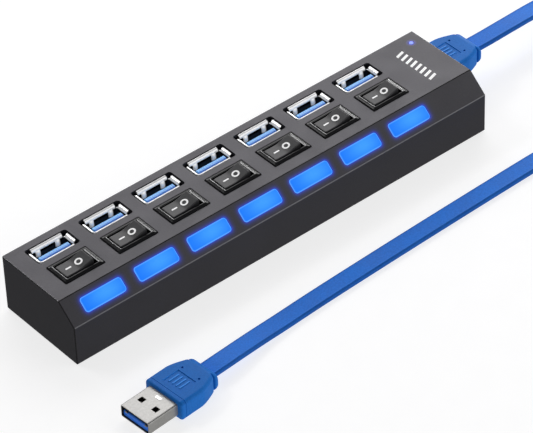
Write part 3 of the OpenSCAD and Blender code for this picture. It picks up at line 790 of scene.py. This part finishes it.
def draw_edges(tree, shader, x, y, z):
    """A painted highlight that pales the slope's lower edge, and painted shade that darkens the glossy
    roundings on the end edges.
    """
    end, front, back, top = CASE_HIGH.x, CASE_LOW.y, CASE_HIGH.y, CASE_HEIGHT
    pale = map_range(tree, line_distance(tree, y, z, front, SLOPE_FOOT), 0.1, 0.3, 0.75, 0, smooth=True)
    past_slope = math_node(
        tree, "MULTIPLY_ADD", math_node(tree, "SUBTRACT", y, front), -math.sin(SLOPE_ANGLE),
        math_node(tree, "MULTIPLY", math_node(tree, "SUBTRACT", z, SLOPE_FOOT), math.cos(SLOPE_ANGLE)),
    )
    depth = math_node(tree, "MAXIMUM", math_node(tree, "SUBTRACT", z, top), past_slope)
    depth = math_node(tree, "MAXIMUM", depth, math_node(tree, "SUBTRACT", front, y))
    depth = math_node(tree, "MAXIMUM", depth, math_node(tree, "SUBTRACT", y, back))
    at_end = map_range(tree, math_node(tree, "ABSOLUTE", x), end - 0.36, end - 0.26, 0, 1)
    end_edge_shade = math_node(tree, "MULTIPLY", at_end, map_range(tree, depth, -0.36, -0.26, 0, 1))
    # Painted highlight on the slope's lower edge, then painted shade on the end edges.
    repaint(tree, shader, "Base Color", pale, (0.2, 0.2, 0.205, 1))
    repaint(tree, shader, "Base Color", end_edge_shade, (0.002, 0.002, 0.002, 1))
    rough = shader.inputs["Roughness"].links[0].from_socket
    smoother = math_node(tree, "MULTIPLY", rough, map_range(tree, end_edge_shade, 0, 1, 1, 0.4))
    tree.links.new(smoother, shader.inputs["Roughness"])


def line_distance(tree, y, z, line_y, line_z):
    """Distance in millimetres from a line along the axis that isn't named."""
    across = math_node(tree, "SUBTRACT", y, line_y)
    up = math_node(tree, "SUBTRACT", z, line_z)
    squares = math_node(tree, "MULTIPLY_ADD", across, across, math_node(tree, "MULTIPLY", up, up))
    return math_node(tree, "SQRT", squares)


def make_window_blue():
    """A lit lens: deep blue at its ends, paler up its middle, with a pale line just inside its rim."""
    material = make_surface(
        "window_blue", (0.002, 0.02, 0.2), (0.003, 0.03, 0.26), (0.25, 0.32), 700, 2e-6,
        Specular_IOR_Level=0.1,
    )
    tree, shader, x, y = opened(material, "XY")
    distance = window_distance(tree, x, y)
    off_x = math_node(tree, "DIVIDE", math_node(tree, "SUBTRACT", x, 1.4), 6.5)
    off_y = math_node(tree, "DIVIDE", math_node(tree, "SUBTRACT", y, 0.5), 3.4)
    squares = [math_node(tree, "MULTIPLY", off, off) for off in (off_x, off_y)]
    spread = math_node(tree, "ADD", *squares)
    middle = math_node(tree, "EXPONENT", math_node(tree, "MULTIPLY", spread, -1))
    body = mix_colour(tree, middle, (0.0, 0.16, 0.93, 1), (0.045, 0.33, 1.0, 1))
    line = math_node(tree, "ABSOLUTE", math_node(tree, "ADD", distance, 0.22))
    rim = map_range(tree, line, 0.06, 0.22, 0.7, 0, smooth=True)
    rimmed = mix_colour(tree, rim, body, (0.14, 0.45, 1.0, 1))
    edge = map_range(tree, distance, -0.12, 0, 0, 0.5, smooth=True)
    colour = mix_colour(tree, edge, rimmed, (0.002, 0.06, 0.8, 1))
    tree.links.new(colour, shader.inputs["Emission Color"])
    shader.inputs["Emission Strength"].default_value = 1.0
    return material


def make_tongue_blue():
    """Pale blue across the back of a tongue's tip, deepening towards its front edge."""
    # The blue glow paints extra light onto the tongues, which are no lamp.
    material = make_surface(
        "port_blue", (0.2, 0.52, 1.0), (0.26, 0.6, 1.0), (0.3, 0.4), 1500, 4e-6,
        Emission_Strength=0.15, Emission_Color=(0.06, 0.3, 0.85, 1),
    )
    tree, shader, y = opened(material, "Y")
    front = map_range(tree, y, TONGUE_FRONT, TONGUE_FRONT + 1.1, 0.9, 0, smooth=True)
    repaint(tree, shader, "Base Color", front, (0.015, 0.11, 0.62, 1))
    return material


def make_power_blue():
    """The power light: brightest in its middle."""
    material = make_surface("power_blue", (0.1, 0.2, 0.8), (0.16, 0.28, 0.9), (0.15, 0.25), 900, 2e-6)
    tree, shader, x, y = opened(material, "XY")
    from_middle = line_distance(tree, x, y, *POWER_SPOT)
    outward_share = map_range(tree, from_middle, 0, POWER_RADIUS, 0, 1, smooth=True)
    colour = mix_colour(tree, outward_share, (0.16, 0.2, 0.85, 1), (0.05, 0.05, 0.36, 1))
    tree.links.new(colour, shader.inputs["Emission Color"])
    shader.inputs["Emission Strength"].default_value = 0.8
    return material


def make_materials():
    made = {}
    for name, (*surface, sockets) in SURFACES.items():
        made[name] = make_surface(name, *surface, **sockets)
    made["shell_plastic"] = make_shell_plastic()
    made["window_blue"] = make_window_blue()
    made["power_blue"] = make_power_blue()
    made["port_blue"] = make_tongue_blue()
    return made


def dress_nodes():
    """Gives every CAD node the material of its slot."""
    for part in frame["record"]["subparts"]:
        mesh = frame["nodes"][part["node"]].data
        mesh.materials.clear()
        mesh.materials.append(MATERIALS[part["material_slot"]])


def ease_edges():
    """Rounds the edges of the CAD nodes that show underneath, which keep their own shape."""
    for cad_node, width in (("bottom_cover", 0.25), ("rubber_feet", 0.2), ("case_screws", 0.12)):
        obj = frame["nodes"][cad_node]
        weld = obj.modifiers.new("weld", "WELD")
        weld.merge_threshold = 2e-6
        edge = obj.modifiers.new("edge", "BEVEL")
        edge.width = width * MM
        edge.segments = 2
        edge.limit_method = "ANGLE"
        edge.angle_limit = math.radians(40)


# ---------------------------------------------------------------- housing

EDGE_ROUND = 0.3
RIM_ROUND = 0.16


def on_outside(edge):
    """Whether an edge is one of the long or end edges of the housing's outer shape."""
    slope_back = CASE_LOW.y + SLOPE_RUN
    corners = (
        (CASE_LOW.y, SLOPE_FOOT), (slope_back, CASE_HEIGHT), (CASE_HIGH.y, CASE_HEIGHT),
        (CASE_LOW.y, CASE_LOW.z), (CASE_HIGH.y, CASE_LOW.z),
    )
    places = [v.co / MM for v in edge.verts]
    at_end = all(abs(abs(p.x) - CASE_HIGH.x) < 0.01 for p in places)
    along = any(all(abs(p.y - y) < 0.02 and abs(p.z - z) < 0.02 for p in places) for y, z in corners)
    return at_end or along


def on_rim(edge):
    """Whether an edge is the rim of an opening in the top or in the slope."""
    places = [v.co / MM for v in edge.verts]
    on_top = all(abs(p.z - CASE_HEIGHT) < 0.01 for p in places)
    drop = (CASE_HEIGHT - SLOPE_FOOT) / SLOPE_RUN
    on_slope = all(abs(p.z - SLOPE_FOOT - drop * (p.y - CASE_LOW.y)) < 0.02 for p in places)
    return on_top or on_slope


def make_housing():
    bm = copy_node("top_shell")
    rims = [e for e in bm.edges if is_sharp(e) and on_rim(e) and not on_outside(e)]
    bevel(bm, rims, RIM_ROUND, 2)
    outer = [e for e in bm.edges if is_sharp(e) and on_outside(e)]
    bevel(bm, outer, EDGE_ROUND, 3)
    housing = make_object("housing", bm, 40, weld=False)
    fold = Vector((CASE_LOW.y + SLOPE_RUN, CASE_HEIGHT))
    # The rounding along the fold between top and slope is painted dark as a shade line.
    paint(
        housing, ("shell_plastic", "fold_shade"),
        lambda face: ((face.center / MM).yz - fold).length < EDGE_ROUND * 0.9,
    )
    finish_piece(housing, "root", "shell_plastic", ["top_shell"])


MARK_SPOT = (71.6, 2.9)
MARK_BARS = 8
MARK_STEP = 2.2
MARK_BAR = (3.4, 1.0)
MARK_SLANT = 0.5
INK = 0.02


def make_mark():
    """A printed row of plain slanted bars."""
    bm = bmesh.new()
    for k in range(MARK_BARS):
        y = (k - (MARK_BARS - 1) / 2) * MARK_STEP
        half = MARK_BAR[0] / 2
        thick = MARK_BAR[1] / 2
        outline = [
            (-half, y - thick - MARK_SLANT), (half, y - thick + MARK_SLANT),
            (half, y + thick + MARK_SLANT), (-half, y + thick - MARK_SLANT),
        ]
        prism(bm, outline, CASE_HEIGHT - 0.1, CASE_HEIGHT + INK)
    mark = make_object("printed_bars", bm, 35)
    mark.matrix_world = Matrix.Translation(Vector((*MARK_SPOT, 0)) * MM)
    set_materials(mark, "mark_white")
    finish_piece(mark, "root", "shell_plastic")


# ---------------------------------------------------------------- sockets

SHEET = 0.3
SHELL_OUT = (13.1, 5.7)
SHELL_BOTTOM = 6.6
FLARE_RADIUS = 0.95
FLARE_TURN = 86
FLARE_ROOT = 19.7
FLARE_NOTCH = 0.8
FLARE_CORNER = 0.6
SPRING_SPREAD = 7.4
SPRING_WIDTH = 1.8
SPRING_LOW = 15.9
SPRING_HIGH = 19.9
SPRING_REACH = 0.8


def flare_profile():
    """Middle line of a flap: how far out and how high it is, and the way it faces inside."""
    line = [(0, FLARE_ROOT - 1.0, 0)]
    for k in range(9):
        angle = math.radians(FLARE_TURN * k / 8)
        line.append((
            FLARE_RADIUS * (1 - math.cos(angle)), FLARE_ROOT + FLARE_RADIUS * math.sin(angle), angle
        ))
    return line


def flap_outline(out, reach):
    """Section of a flap that leans out along a level direction, its root that far from the axis."""
    front = []
    back = []
    for far, z, angle in flare_profile():
        middle = out * (reach - SHEET / 2 + far) + Vector((0, 0, z))
        normal = -out * math.cos(angle) + Vector((0, 0, math.sin(angle)))
        front.append(middle + normal * SHEET / 2)
        back.append(middle - normal * SHEET / 2)
    return front + list(reversed(back))


def add_flap(bm, side, start, end, reach):
    """One flared flap, from start to end along its side, seen turning to the left."""
    out = Vector((*side, 0))
    along = Vector((-side[1], side[0], 0))
    loft(bm, [[p + along * shift for p in flap_outline(out, reach)] for shift in (start, end)])


def add_flap_corner(bm, centre, start_angle, reach):
    """The rounded flare that joins two flaps at a corner."""
    rings = []
    for k in range(7):
        angle = math.radians(start_angle + 15 * k)
        out = Vector((math.cos(angle), math.sin(angle), 0))
        rings.append([Vector((*centre, 0)) + p for p in flap_outline(out, reach)])
    loft(bm, rings)


def add_spring(bm, x):
    """A spring tab that swells out of the +Y wall, rounded across its width."""
    wall = SHELL_OUT[1] / 2 - SHEET
    rows = []
    for k in range(13):
        t = k / 12
        bow = SPRING_REACH * math.sin(math.pi * t ** 1.5) if 0 < k < 12 else 0
        z = SPRING_LOW + (SPRING_HIGH - SPRING_LOW) * t
        row = []
        for m in range(9):
            u = m / 4 - 1
            crown = 0.35 + 0.65 * math.sqrt(max(0, 1 - u * u))
            row.append((x + u * SPRING_WIDTH / 2, wall - bow * crown, z))
        row += [(x + SPRING_WIDTH / 2, wall + 0.12, z), (x - SPRING_WIDTH / 2, wall + 0.12, z)]
        rows.append(row)
    loft(bm, rows)


def add_tube(bm, low, high):
    outer = rounded_rect(*SHELL_OUT, 0.6, 4)
    inner = rounded_rect(*grown(SHELL_OUT, -SHEET), 0.35, 4)
    stack(bm, [(outer, low), (outer, high), (inner, high), (inner, low)], closed=True)


def make_shells():
    """Plated sheet-metal sockets. Deep inside, where no light gets, the walls are painted dark as shade."""
    bm = bmesh.new()
    add_tube(bm, SHELL_BOTTOM, FLARE_ROOT)
    long_half = SHELL_OUT[0] / 2
    short_half = SHELL_OUT[1] / 2
    far_long = long_half - FLARE_NOTCH
    far_short = short_half - FLARE_NOTCH
    add_flap(bm, (1, 0), -far_short, far_short, long_half)
    add_flap(bm, (0, 1), -far_long, far_long, short_half)
    add_flap(bm, (-1, 0), -far_short, short_half - FLARE_CORNER, long_half)
    add_flap(bm, (0, -1), FLARE_CORNER - long_half, far_long, short_half)
    add_flap_corner(bm, (FLARE_CORNER - long_half, FLARE_CORNER - short_half), 180, FLARE_CORNER)
    for x in (-SPRING_SPREAD / 2, SPRING_SPREAD / 2):
        add_spring(bm, x)
    shell = make_object("socket", bm, 45, weld=False)
    paint(shell, ("port_steel", "port_painted_shade", "port_lip_highlight"), socket_surface)
    copies(shell, "socket", PORT_SPOTS, on_root, "port_steel", "port_shell")


def socket_surface(face):
    """0 for plain plating, 1 for the inside and the springs' lower parts painted dark as shade, or 2 for the
    flaps and the springs' ends painted pale with a glow as a highlight.
    """
    middle = face.center / MM
    inside = abs(middle.x) < SHELL_OUT[0] / 2 - 0.1 and abs(middle.y) < SHELL_OUT[1] / 2 - 0.1
    if middle.z > FLARE_ROOT + 0.01:
        return 2
    if not inside:
        return 0
    wall = SHELL_OUT[1] / 2 - SHEET
    on_spring = wall - 0.9 < middle.y < wall - 0.03 and abs(face.normal.x) < 0.9
    return 2 if on_spring and middle.z > SPRING_LOW + 1.9 else 1


TONGUE_WIDTH = 11.1
TONGUE_THICKNESS = 1.84
TONGUE_FRONT = -1.89
TONGUE_TIP = 19.9
TONGUE_RIBS = 13
TONGUE_BASE = SHELL_BOTTOM + 2.4
RIB_GROOVE = (0.22, 0.06)


def tongue_ring(x, sink):
    """A section across the tongue at x, sunk a little where a groove runs."""
    low = TONGUE_FRONT + sink
    high = TONGUE_FRONT + TONGUE_THICKNESS
    tip = TONGUE_TIP - sink
    return [
        (x, low, TONGUE_BASE), (x, low, tip - 0.25), (x, low + 0.25, tip),
        (x, high - 0.3, tip), (x, high, tip - 0.3), (x, high, TONGUE_BASE),
    ]


def make_tongues():
    bm = bmesh.new()
    half = TONGUE_WIDTH / 2
    stations = [(-half, 0.12), (-half + 0.12, 0)]
    pitch = TONGUE_WIDTH / TONGUE_RIBS
    for k in range(1, TONGUE_RIBS):
        middle = -half + k * pitch
        edge = RIB_GROOVE[0] / 2
        stations += [
            (middle - edge, 0), (middle - edge + 0.07, RIB_GROOVE[1]),
            (middle + edge - 0.07, RIB_GROOVE[1]), (middle + edge, 0),
        ]
    stations += [(half - 0.12, 0), (half, 0.12)]
    loft(bm, [tongue_ring(x, sink) for x, sink in stations])
    base = rounded_rect(*grown(SHELL_OUT, -SHEET - 0.1), 0.35, 4)
    prism(bm, base, SHELL_BOTTOM, TONGUE_BASE)
    tongue = make_object("tongue", bm, 25, weld=False)
    copies(tongue, "tongue", PORT_SPOTS, on_root, "port_blue", "port_tongue")


# ---------------------------------------------------------------- switches

BEZEL = (15.0, 10.0)
BODY = (13.2, 8.5)
OPENING = (11.8, 7.1)
BEZEL_RISE = 0.5
BEZEL_EDGE = 0.2
SEAM_WIDTH = 0.45
RIM_FILLET = 0.3
BODY_DEPTH = 10.2
PIVOT_Z = 18.4
ROCKER_TILT = 8
ROCKER = (10.2, 6.0)
ROCKER_CROWN = 3.1
ROCKER_EDGE = 0.3
ROCKER_SKIRT = 2.4
ROCKER_KEEL = 4.2


def bezel_profile():
    """Size, corner radius and height of a switch's body and frame, from its foot round to its floor."""
    top = CASE_HEIGHT
    crest = top + BEZEL_RISE
    rim = grown(OPENING, 0.4)
    rings = [
        (BODY, 0.3, top - BODY_DEPTH), (BODY, 0.3, top - 0.02), (BEZEL, 0.35, top - 0.02),
        (BEZEL, 0.35, top + BEZEL_EDGE - 0.08), (grown(BEZEL, -0.03), 0.35, top + BEZEL_EDGE - 0.02),
        (grown(BEZEL, -0.08), 0.35, top + BEZEL_EDGE),
        (grown(BEZEL, -SEAM_WIDTH), 0.35, top + BEZEL_EDGE + 0.06),
        (grown(rim, 0.06), 0.3, crest - 0.04), (grown(rim, 0.02), 0.3, crest - 0.01),
        (grown(rim, -0.05), 0.3, crest),
    ]
    for k in range(5):
        angle = math.radians(90 * k / 4)
        out = RIM_FILLET * (1 - math.sin(angle))
        rings.append((grown(OPENING, out), 0.3, crest - RIM_FILLET * (1 - math.cos(angle))))
    rings.append((OPENING, 0.3, top - BODY_DEPTH + 1))
    return rings


def make_bezels():
    bm = bmesh.new()
    stack(bm, [(rounded_rect(*size, radius, 4), z) for size, radius, z in bezel_profile()])
    bezel = make_object("switch_frame", bm, 50, weld=False)
    paint(bezel, ("bezel_black", "frame_gap_shade", "frame_highlight"), bezel_surface)
    copies(bezel, "switch_frame", SWITCH_SPOTS, on_root, "bezel_black", "switch_body")


def bezel_surface(face):
    """1 for the painted shade of the gap round a frame, 2 for the painted highlight on its inner edges at
    the ends, or 0.
    """
    middle = face.center / MM
    past_x = abs(middle.x) > BEZEL[0] / 2 - SEAM_WIDTH
    past_y = abs(middle.y) > BEZEL[1] / 2 - SEAM_WIDTH
    if past_x or past_y:
        return 1
    at_edge = OPENING[0] / 2 - 0.01 < abs(middle.x) < OPENING[0] / 2 + 0.3
    polished = at_edge and abs(face.normal.x) > 0.2 and middle.z > CASE_HEIGHT + 0.1
    return 2 if polished else 0


def crown_height(x):
    """Height of the rocker's top above its pivot at x along it: a V with a soft middle."""
    rise = math.tan(math.radians(ROCKER_TILT))
    soft = 0.9
    return ROCKER_CROWN + rise * (math.sqrt(x * x + soft * soft) - soft * soft / math.hypot(x, soft) * 0.5)


def rocker_floor(x):
    keel = 1.5
    share = min(1, max(0, (abs(x) - keel) / (ROCKER[0] / 2 - keel)))
    return -ROCKER_KEEL + (ROCKER_KEEL - ROCKER_SKIRT) * share


def rocker_ring(x, inset):
    half = ROCKER[1] / 2 - inset
    top = min(crown_height(x), ROCKER_CROWN + ROCKER[0] / 2 * math.tan(math.radians(ROCKER_TILT))) - inset
    low = rocker_floor(x) + inset
    edge = ROCKER_EDGE
    ring = [(x, -half, low), (x, -half, top - edge)]
    for k in range(1, 4):
        angle = math.radians(90 * k / 4)
        ring.append((x, -half + edge * (1 - math.cos(angle)), top - edge * (1 - math.sin(angle))))
    ring += [(x, -half + edge, top), (x, half - edge, top)]
    ring += [(x, -y, z) for _, y, z in reversed(ring[2:5])]
    return ring + [(x, half, top - edge), (x, half, low)]


def make_rockers():
    half = ROCKER[0] / 2
    stations = [(-half, 0.22), (-half + 0.06, 0.1), (-half + 0.18, 0.02), (-half + 0.3, 0)]
    stations += [(-half + 0.3 + (ROCKER[0] - 0.6) * k / 24, 0) for k in range(1, 24)]
    stations += [(-x, inset) for x, inset in reversed(stations[:4])]
    bm = bmesh.new()
    loft(bm, [rocker_ring(x, inset) for x, inset in stations])
    pin = [(0.8 * math.cos(k * math.pi / 12), 0.8 * math.sin(k * math.pi / 12)) for k in range(24)]
    reach = OPENING[1] / 2 + 0.5
    loft(bm, [[(x, y, z) for x, z in pin] for y in (-reach, reach)])
    rocker = make_object("rocker", bm, 40, weld=False)
    rocker.matrix_world = rocker_place()
    copies(rocker, "rocker_key", SWITCH_SPOTS, on_rocker, "rocker_grey", "rocker")
    make_rocker_marks()


def rocker_place():
    return Matrix.Translation((0, 0, PIVOT_Z * MM)) @ Matrix.Rotation(math.radians(-ROCKER_TILT), 4, "Y")


RING_MARK = (1.55, 1.3, 0.72)
BAR_MARK = (-2.3, 2.1, 0.56)
MARK_PROUD = 0.015


def make_rocker_marks():
    """The bar and the ring moulded into a rocker's face in white, following its slope."""
    bm = bmesh.new()
    centre, outer, inner = RING_MARK
    steps = 40
    rows = []
    for radius, lift in ((inner, -0.2), (inner, MARK_PROUD), (outer, MARK_PROUD), (outer, -0.2)):
        row = []
        for k in range(steps):
            angle = 2 * math.pi * k / steps
            x = centre + radius * math.cos(angle)
            row.append((x, radius * math.sin(angle), crown_height(x) + lift))
        rows.append(row)
    loft(bm, rows, closed=True)
    middle, length, width = BAR_MARK
    outline = rounded_rect(length, width, 0.12, 3)
    path = [(middle + x, y, crown_height(middle + x)) for x, y in outline]
    loft(bm, [[(x, y, z + lift) for x, y, z in path] for lift in (-0.2, MARK_PROUD)])
    marks = make_object("rocker_marks", bm, 35, weld=False)
    set_materials(marks, "mark_white")
    marks.matrix_world = rocker_place()
    copies(marks, "rocker_marks", SWITCH_SPOTS, on_rocker, "rocker_grey", None)


# ---------------------------------------------------------------- lit windows

LENS_GAP = 0.1


def make_lenses():
    """Lenses with a rounded edge that sit flush in the slope, and the flange behind each."""
    profile = (
        (0.7, -2.6), (0.7, -1.82), (-LENS_GAP, -1.82), (-LENS_GAP, -0.2),
        (-LENS_GAP - 0.04, -0.08), (-LENS_GAP - 0.13, -0.01), (-LENS_GAP - 0.25, 0),
        (-LENS_GAP - 0.45, -0.03),
    )
    bm = bmesh.new()
    stack(bm, [(rounded_rect(*grown(WINDOW_SIZE, by), WINDOW_RADIUS - 0.05, 5), z) for by, z in profile])
    lens = make_object("lens", bm, 50, weld=False)
    lens.matrix_world = Matrix.Translation(SLOPE_MIDDLE * MM) @ Matrix.Rotation(SLOPE_ANGLE, 4, "X")
    copies(lens, "lens", [(x, 0) for x, _ in PORT_SPOTS], on_root, "window_blue", "lit_window")


# ---------------------------------------------------------------- plug

PLUG_SIZE = (12.0, 4.5)
PLUG_LENGTH = 11.5
PLUG_SHEET = 0.3
PLUG_WINDOW = (2.0, 2.0)
PLUG_WINDOW_START = 4.7
PLUG_WINDOW_SPREAD = 3.0
TAB_SPREAD = 4.2
BLOCK_HEIGHT = 1.85


def at_plug():
    """From the plug's own frame, with X from the cable to the tip, to the CAD frame."""
    return Matrix.Translation(Vector(PLUG_EXIT) * MM) @ Matrix.Rotation(math.radians(180 + PLUG_YAW), 4, "Z")


def plug_section(inset, radius):
    return rounded_rect(*grown(PLUG_SIZE, -inset), radius, 5)


def finish_plug_piece(obj, slot, replaced=()):
    obj.data.transform(at_plug())
    return finish_piece(obj, "root", slot, replaced)


def make_plug_shell():
    start = GRIP_LENGTH
    tip = start + PLUG_LENGTH - 0.01
    outer = plug_section(0, 0.5)
    soft = plug_section(0.07, 0.45)
    inner = plug_section(PLUG_SHEET, 0.25)
    bm = bmesh.new()
    loft(bm, [[(x, y, z) for y, z in line] for line, x in (
        (outer, start), (outer, tip - 0.1), (soft, tip), (inner, tip), (inner, start)
    )], closed=True)
    shell = make_object("plug_shell_steel", bm, 40, weld=False)
    bm = bmesh.new()
    for side in (-1, 1):
        middle = tip - PLUG_WINDOW_START - PLUG_WINDOW[0] / 2
        outline = rounded_rect(*PLUG_WINDOW, 0.12, 3)
        prism(bm, [(middle + x, side * PLUG_WINDOW_SPREAD + y) for x, y in outline], -4, 4)
    carve(shell, make_object("cutter", bm))
    shade(shell.data, 40)
    flatten(shell)
    paint(shell, ("plug_steel", "port_painted_shade"), inside_plug)
    return finish_plug_piece(shell, "plug_steel", ["plug_shell"])


def inside_plug(face):
    """Whether a face is on the shell's inside walls, which are painted dark as shade because no light gets
    there.
    """
    middle = face.center / MM
    inside = abs(middle.y) < PLUG_SIZE[0] / 2 - 0.1 and abs(middle.z) < PLUG_SIZE[1] / 2 - 0.1
    return inside and abs(face.normal.x) < 0.5


def make_plug_tabs():
    """Two bright tabs at the front of the block, at the mouth's sides."""
    bm = bmesh.new()
    front = GRIP_LENGTH + PLUG_LENGTH - 0.35
    low = -PLUG_SIZE[1] / 2 + PLUG_SHEET + BLOCK_HEIGHT
    for y in (-TAB_SPREAD, TAB_SPREAD):
        rings = []
        for inset, z in ((0, low - 0.1), (0, low + 0.16), (0.09, low + 0.24)):
            outline = rounded_rect(0.5 - 2 * inset, 1.1 - 2 * inset, 0.12, 3)
            rings.append([(front - 0.3 + px, y + py, z) for px, py in outline])
        loft(bm, rings)
    tabs = make_object("plug_tabs", bm, 35, weld=False)
    set_materials(tabs, "port_steel")
    return finish_plug_piece(tabs, "plug_steel")


def make_plug_pad():
    """The small pressed pad on the shell, next to the grip, and the shell's joint underneath, both painted
    pale with a glow as highlights.
    """
    bm = bmesh.new()
    for low, x, length, width, rise in ((False, 1.95, 1.1, 2.3, 0.12), (True, 5.75, 11.3, 0.16, 0.015)):
        half = PLUG_SIZE[1] / 2
        outline = rounded_rect(length, width, min(width, length) * 0.3, 3)
        inset = rounded_rect(length - 0.12, width - 0.12 if width > 0.2 else width * 0.6, 0.04, 3)
        sign = -1 if low else 1
        loft(bm, [[(GRIP_LENGTH + x + px, py, sign * z) for px, py in line] for line, z in (
            (outline, half - 0.1), (outline, half + rise * 0.5), (inset, half + rise)
        )])
    pad = make_object("plug_pad", bm, 35, weld=False)
    set_materials(pad, "plug_highlight")
    return finish_plug_piece(pad, "plug_steel")


def make_plug_insulator():
    start = GRIP_LENGTH
    tip = start + PLUG_LENGTH - 0.6
    half = (PLUG_SIZE[0] - 2 * PLUG_SHEET - 0.3) / 2
    low = -PLUG_SIZE[1] / 2 + PLUG_SHEET + 0.05
    top = low + BLOCK_HEIGHT
    bm = bmesh.new()
    rings = []
    for y, inset in ((-half, 0.12), (-half + 0.12, 0), (half - 0.12, 0), (half, 0.12)):
        rings.append([
            (start, y, low + inset), (tip - inset, y, low + inset), (tip - inset, y, top - 0.25),
            (tip - 0.25, y, top - inset * 0.5), (tip - 0.6, y, top - inset * 0.5),
            (start, y, top - inset * 0.5),
        ])
    loft(bm, rings)
    block = make_object("plug_block", bm, 30, weld=False)
    # The block's top, back from its tip, is painted dark as the shade inside the plug's mouth.
    paint(
        block, ("plug_blue", "port_painted_shade"),
        lambda face: face.center.x / MM < tip - 0.5 and face.normal.z > 0.5,
    )
    return finish_plug_piece(block, "plug_blue", ["plug_insulator"])


# ---------------------------------------------------------------- build

make_camera()
make_lights()
make_world()
make_floor()
MATERIALS = make_materials()
dress_nodes()

jacket, route, jacket_length = make_cable()


def place_grips():
    hub_grip = make_grip("hub_grip", neck=True)
    hub_grip.matrix_world = Matrix.Translation(Vector((CASE_HIGH.x, CABLE_EXIT[1], CABLE_EXIT[2])) * MM)
    finish_piece(hub_grip, "root", "grip_blue", ["housing_grip"])
    plug_grip = make_grip("plug_moulding")
    turned = Matrix.Translation((GRIP_LENGTH * MM, 0, 0)) @ Matrix.Rotation(math.pi, 4, "Z")
    plug_grip.data.transform(turned)
    finish_plug_piece(plug_grip, "grip_blue", ["plug_grip"])
    return [hub_grip, plug_grip]


grips = place_grips()
plug_pieces = [make_plug_shell(), make_plug_pad(), make_plug_tabs(), make_plug_insulator()]
plug_pieces.append(frame["nodes"]["plug_contacts"])

ease_edges()
make_housing()
make_mark()
make_shells()
make_tongues()
make_bezels()
make_rockers()
make_lenses()

bpy.context.scene.view_settings.view_transform = "Standard"
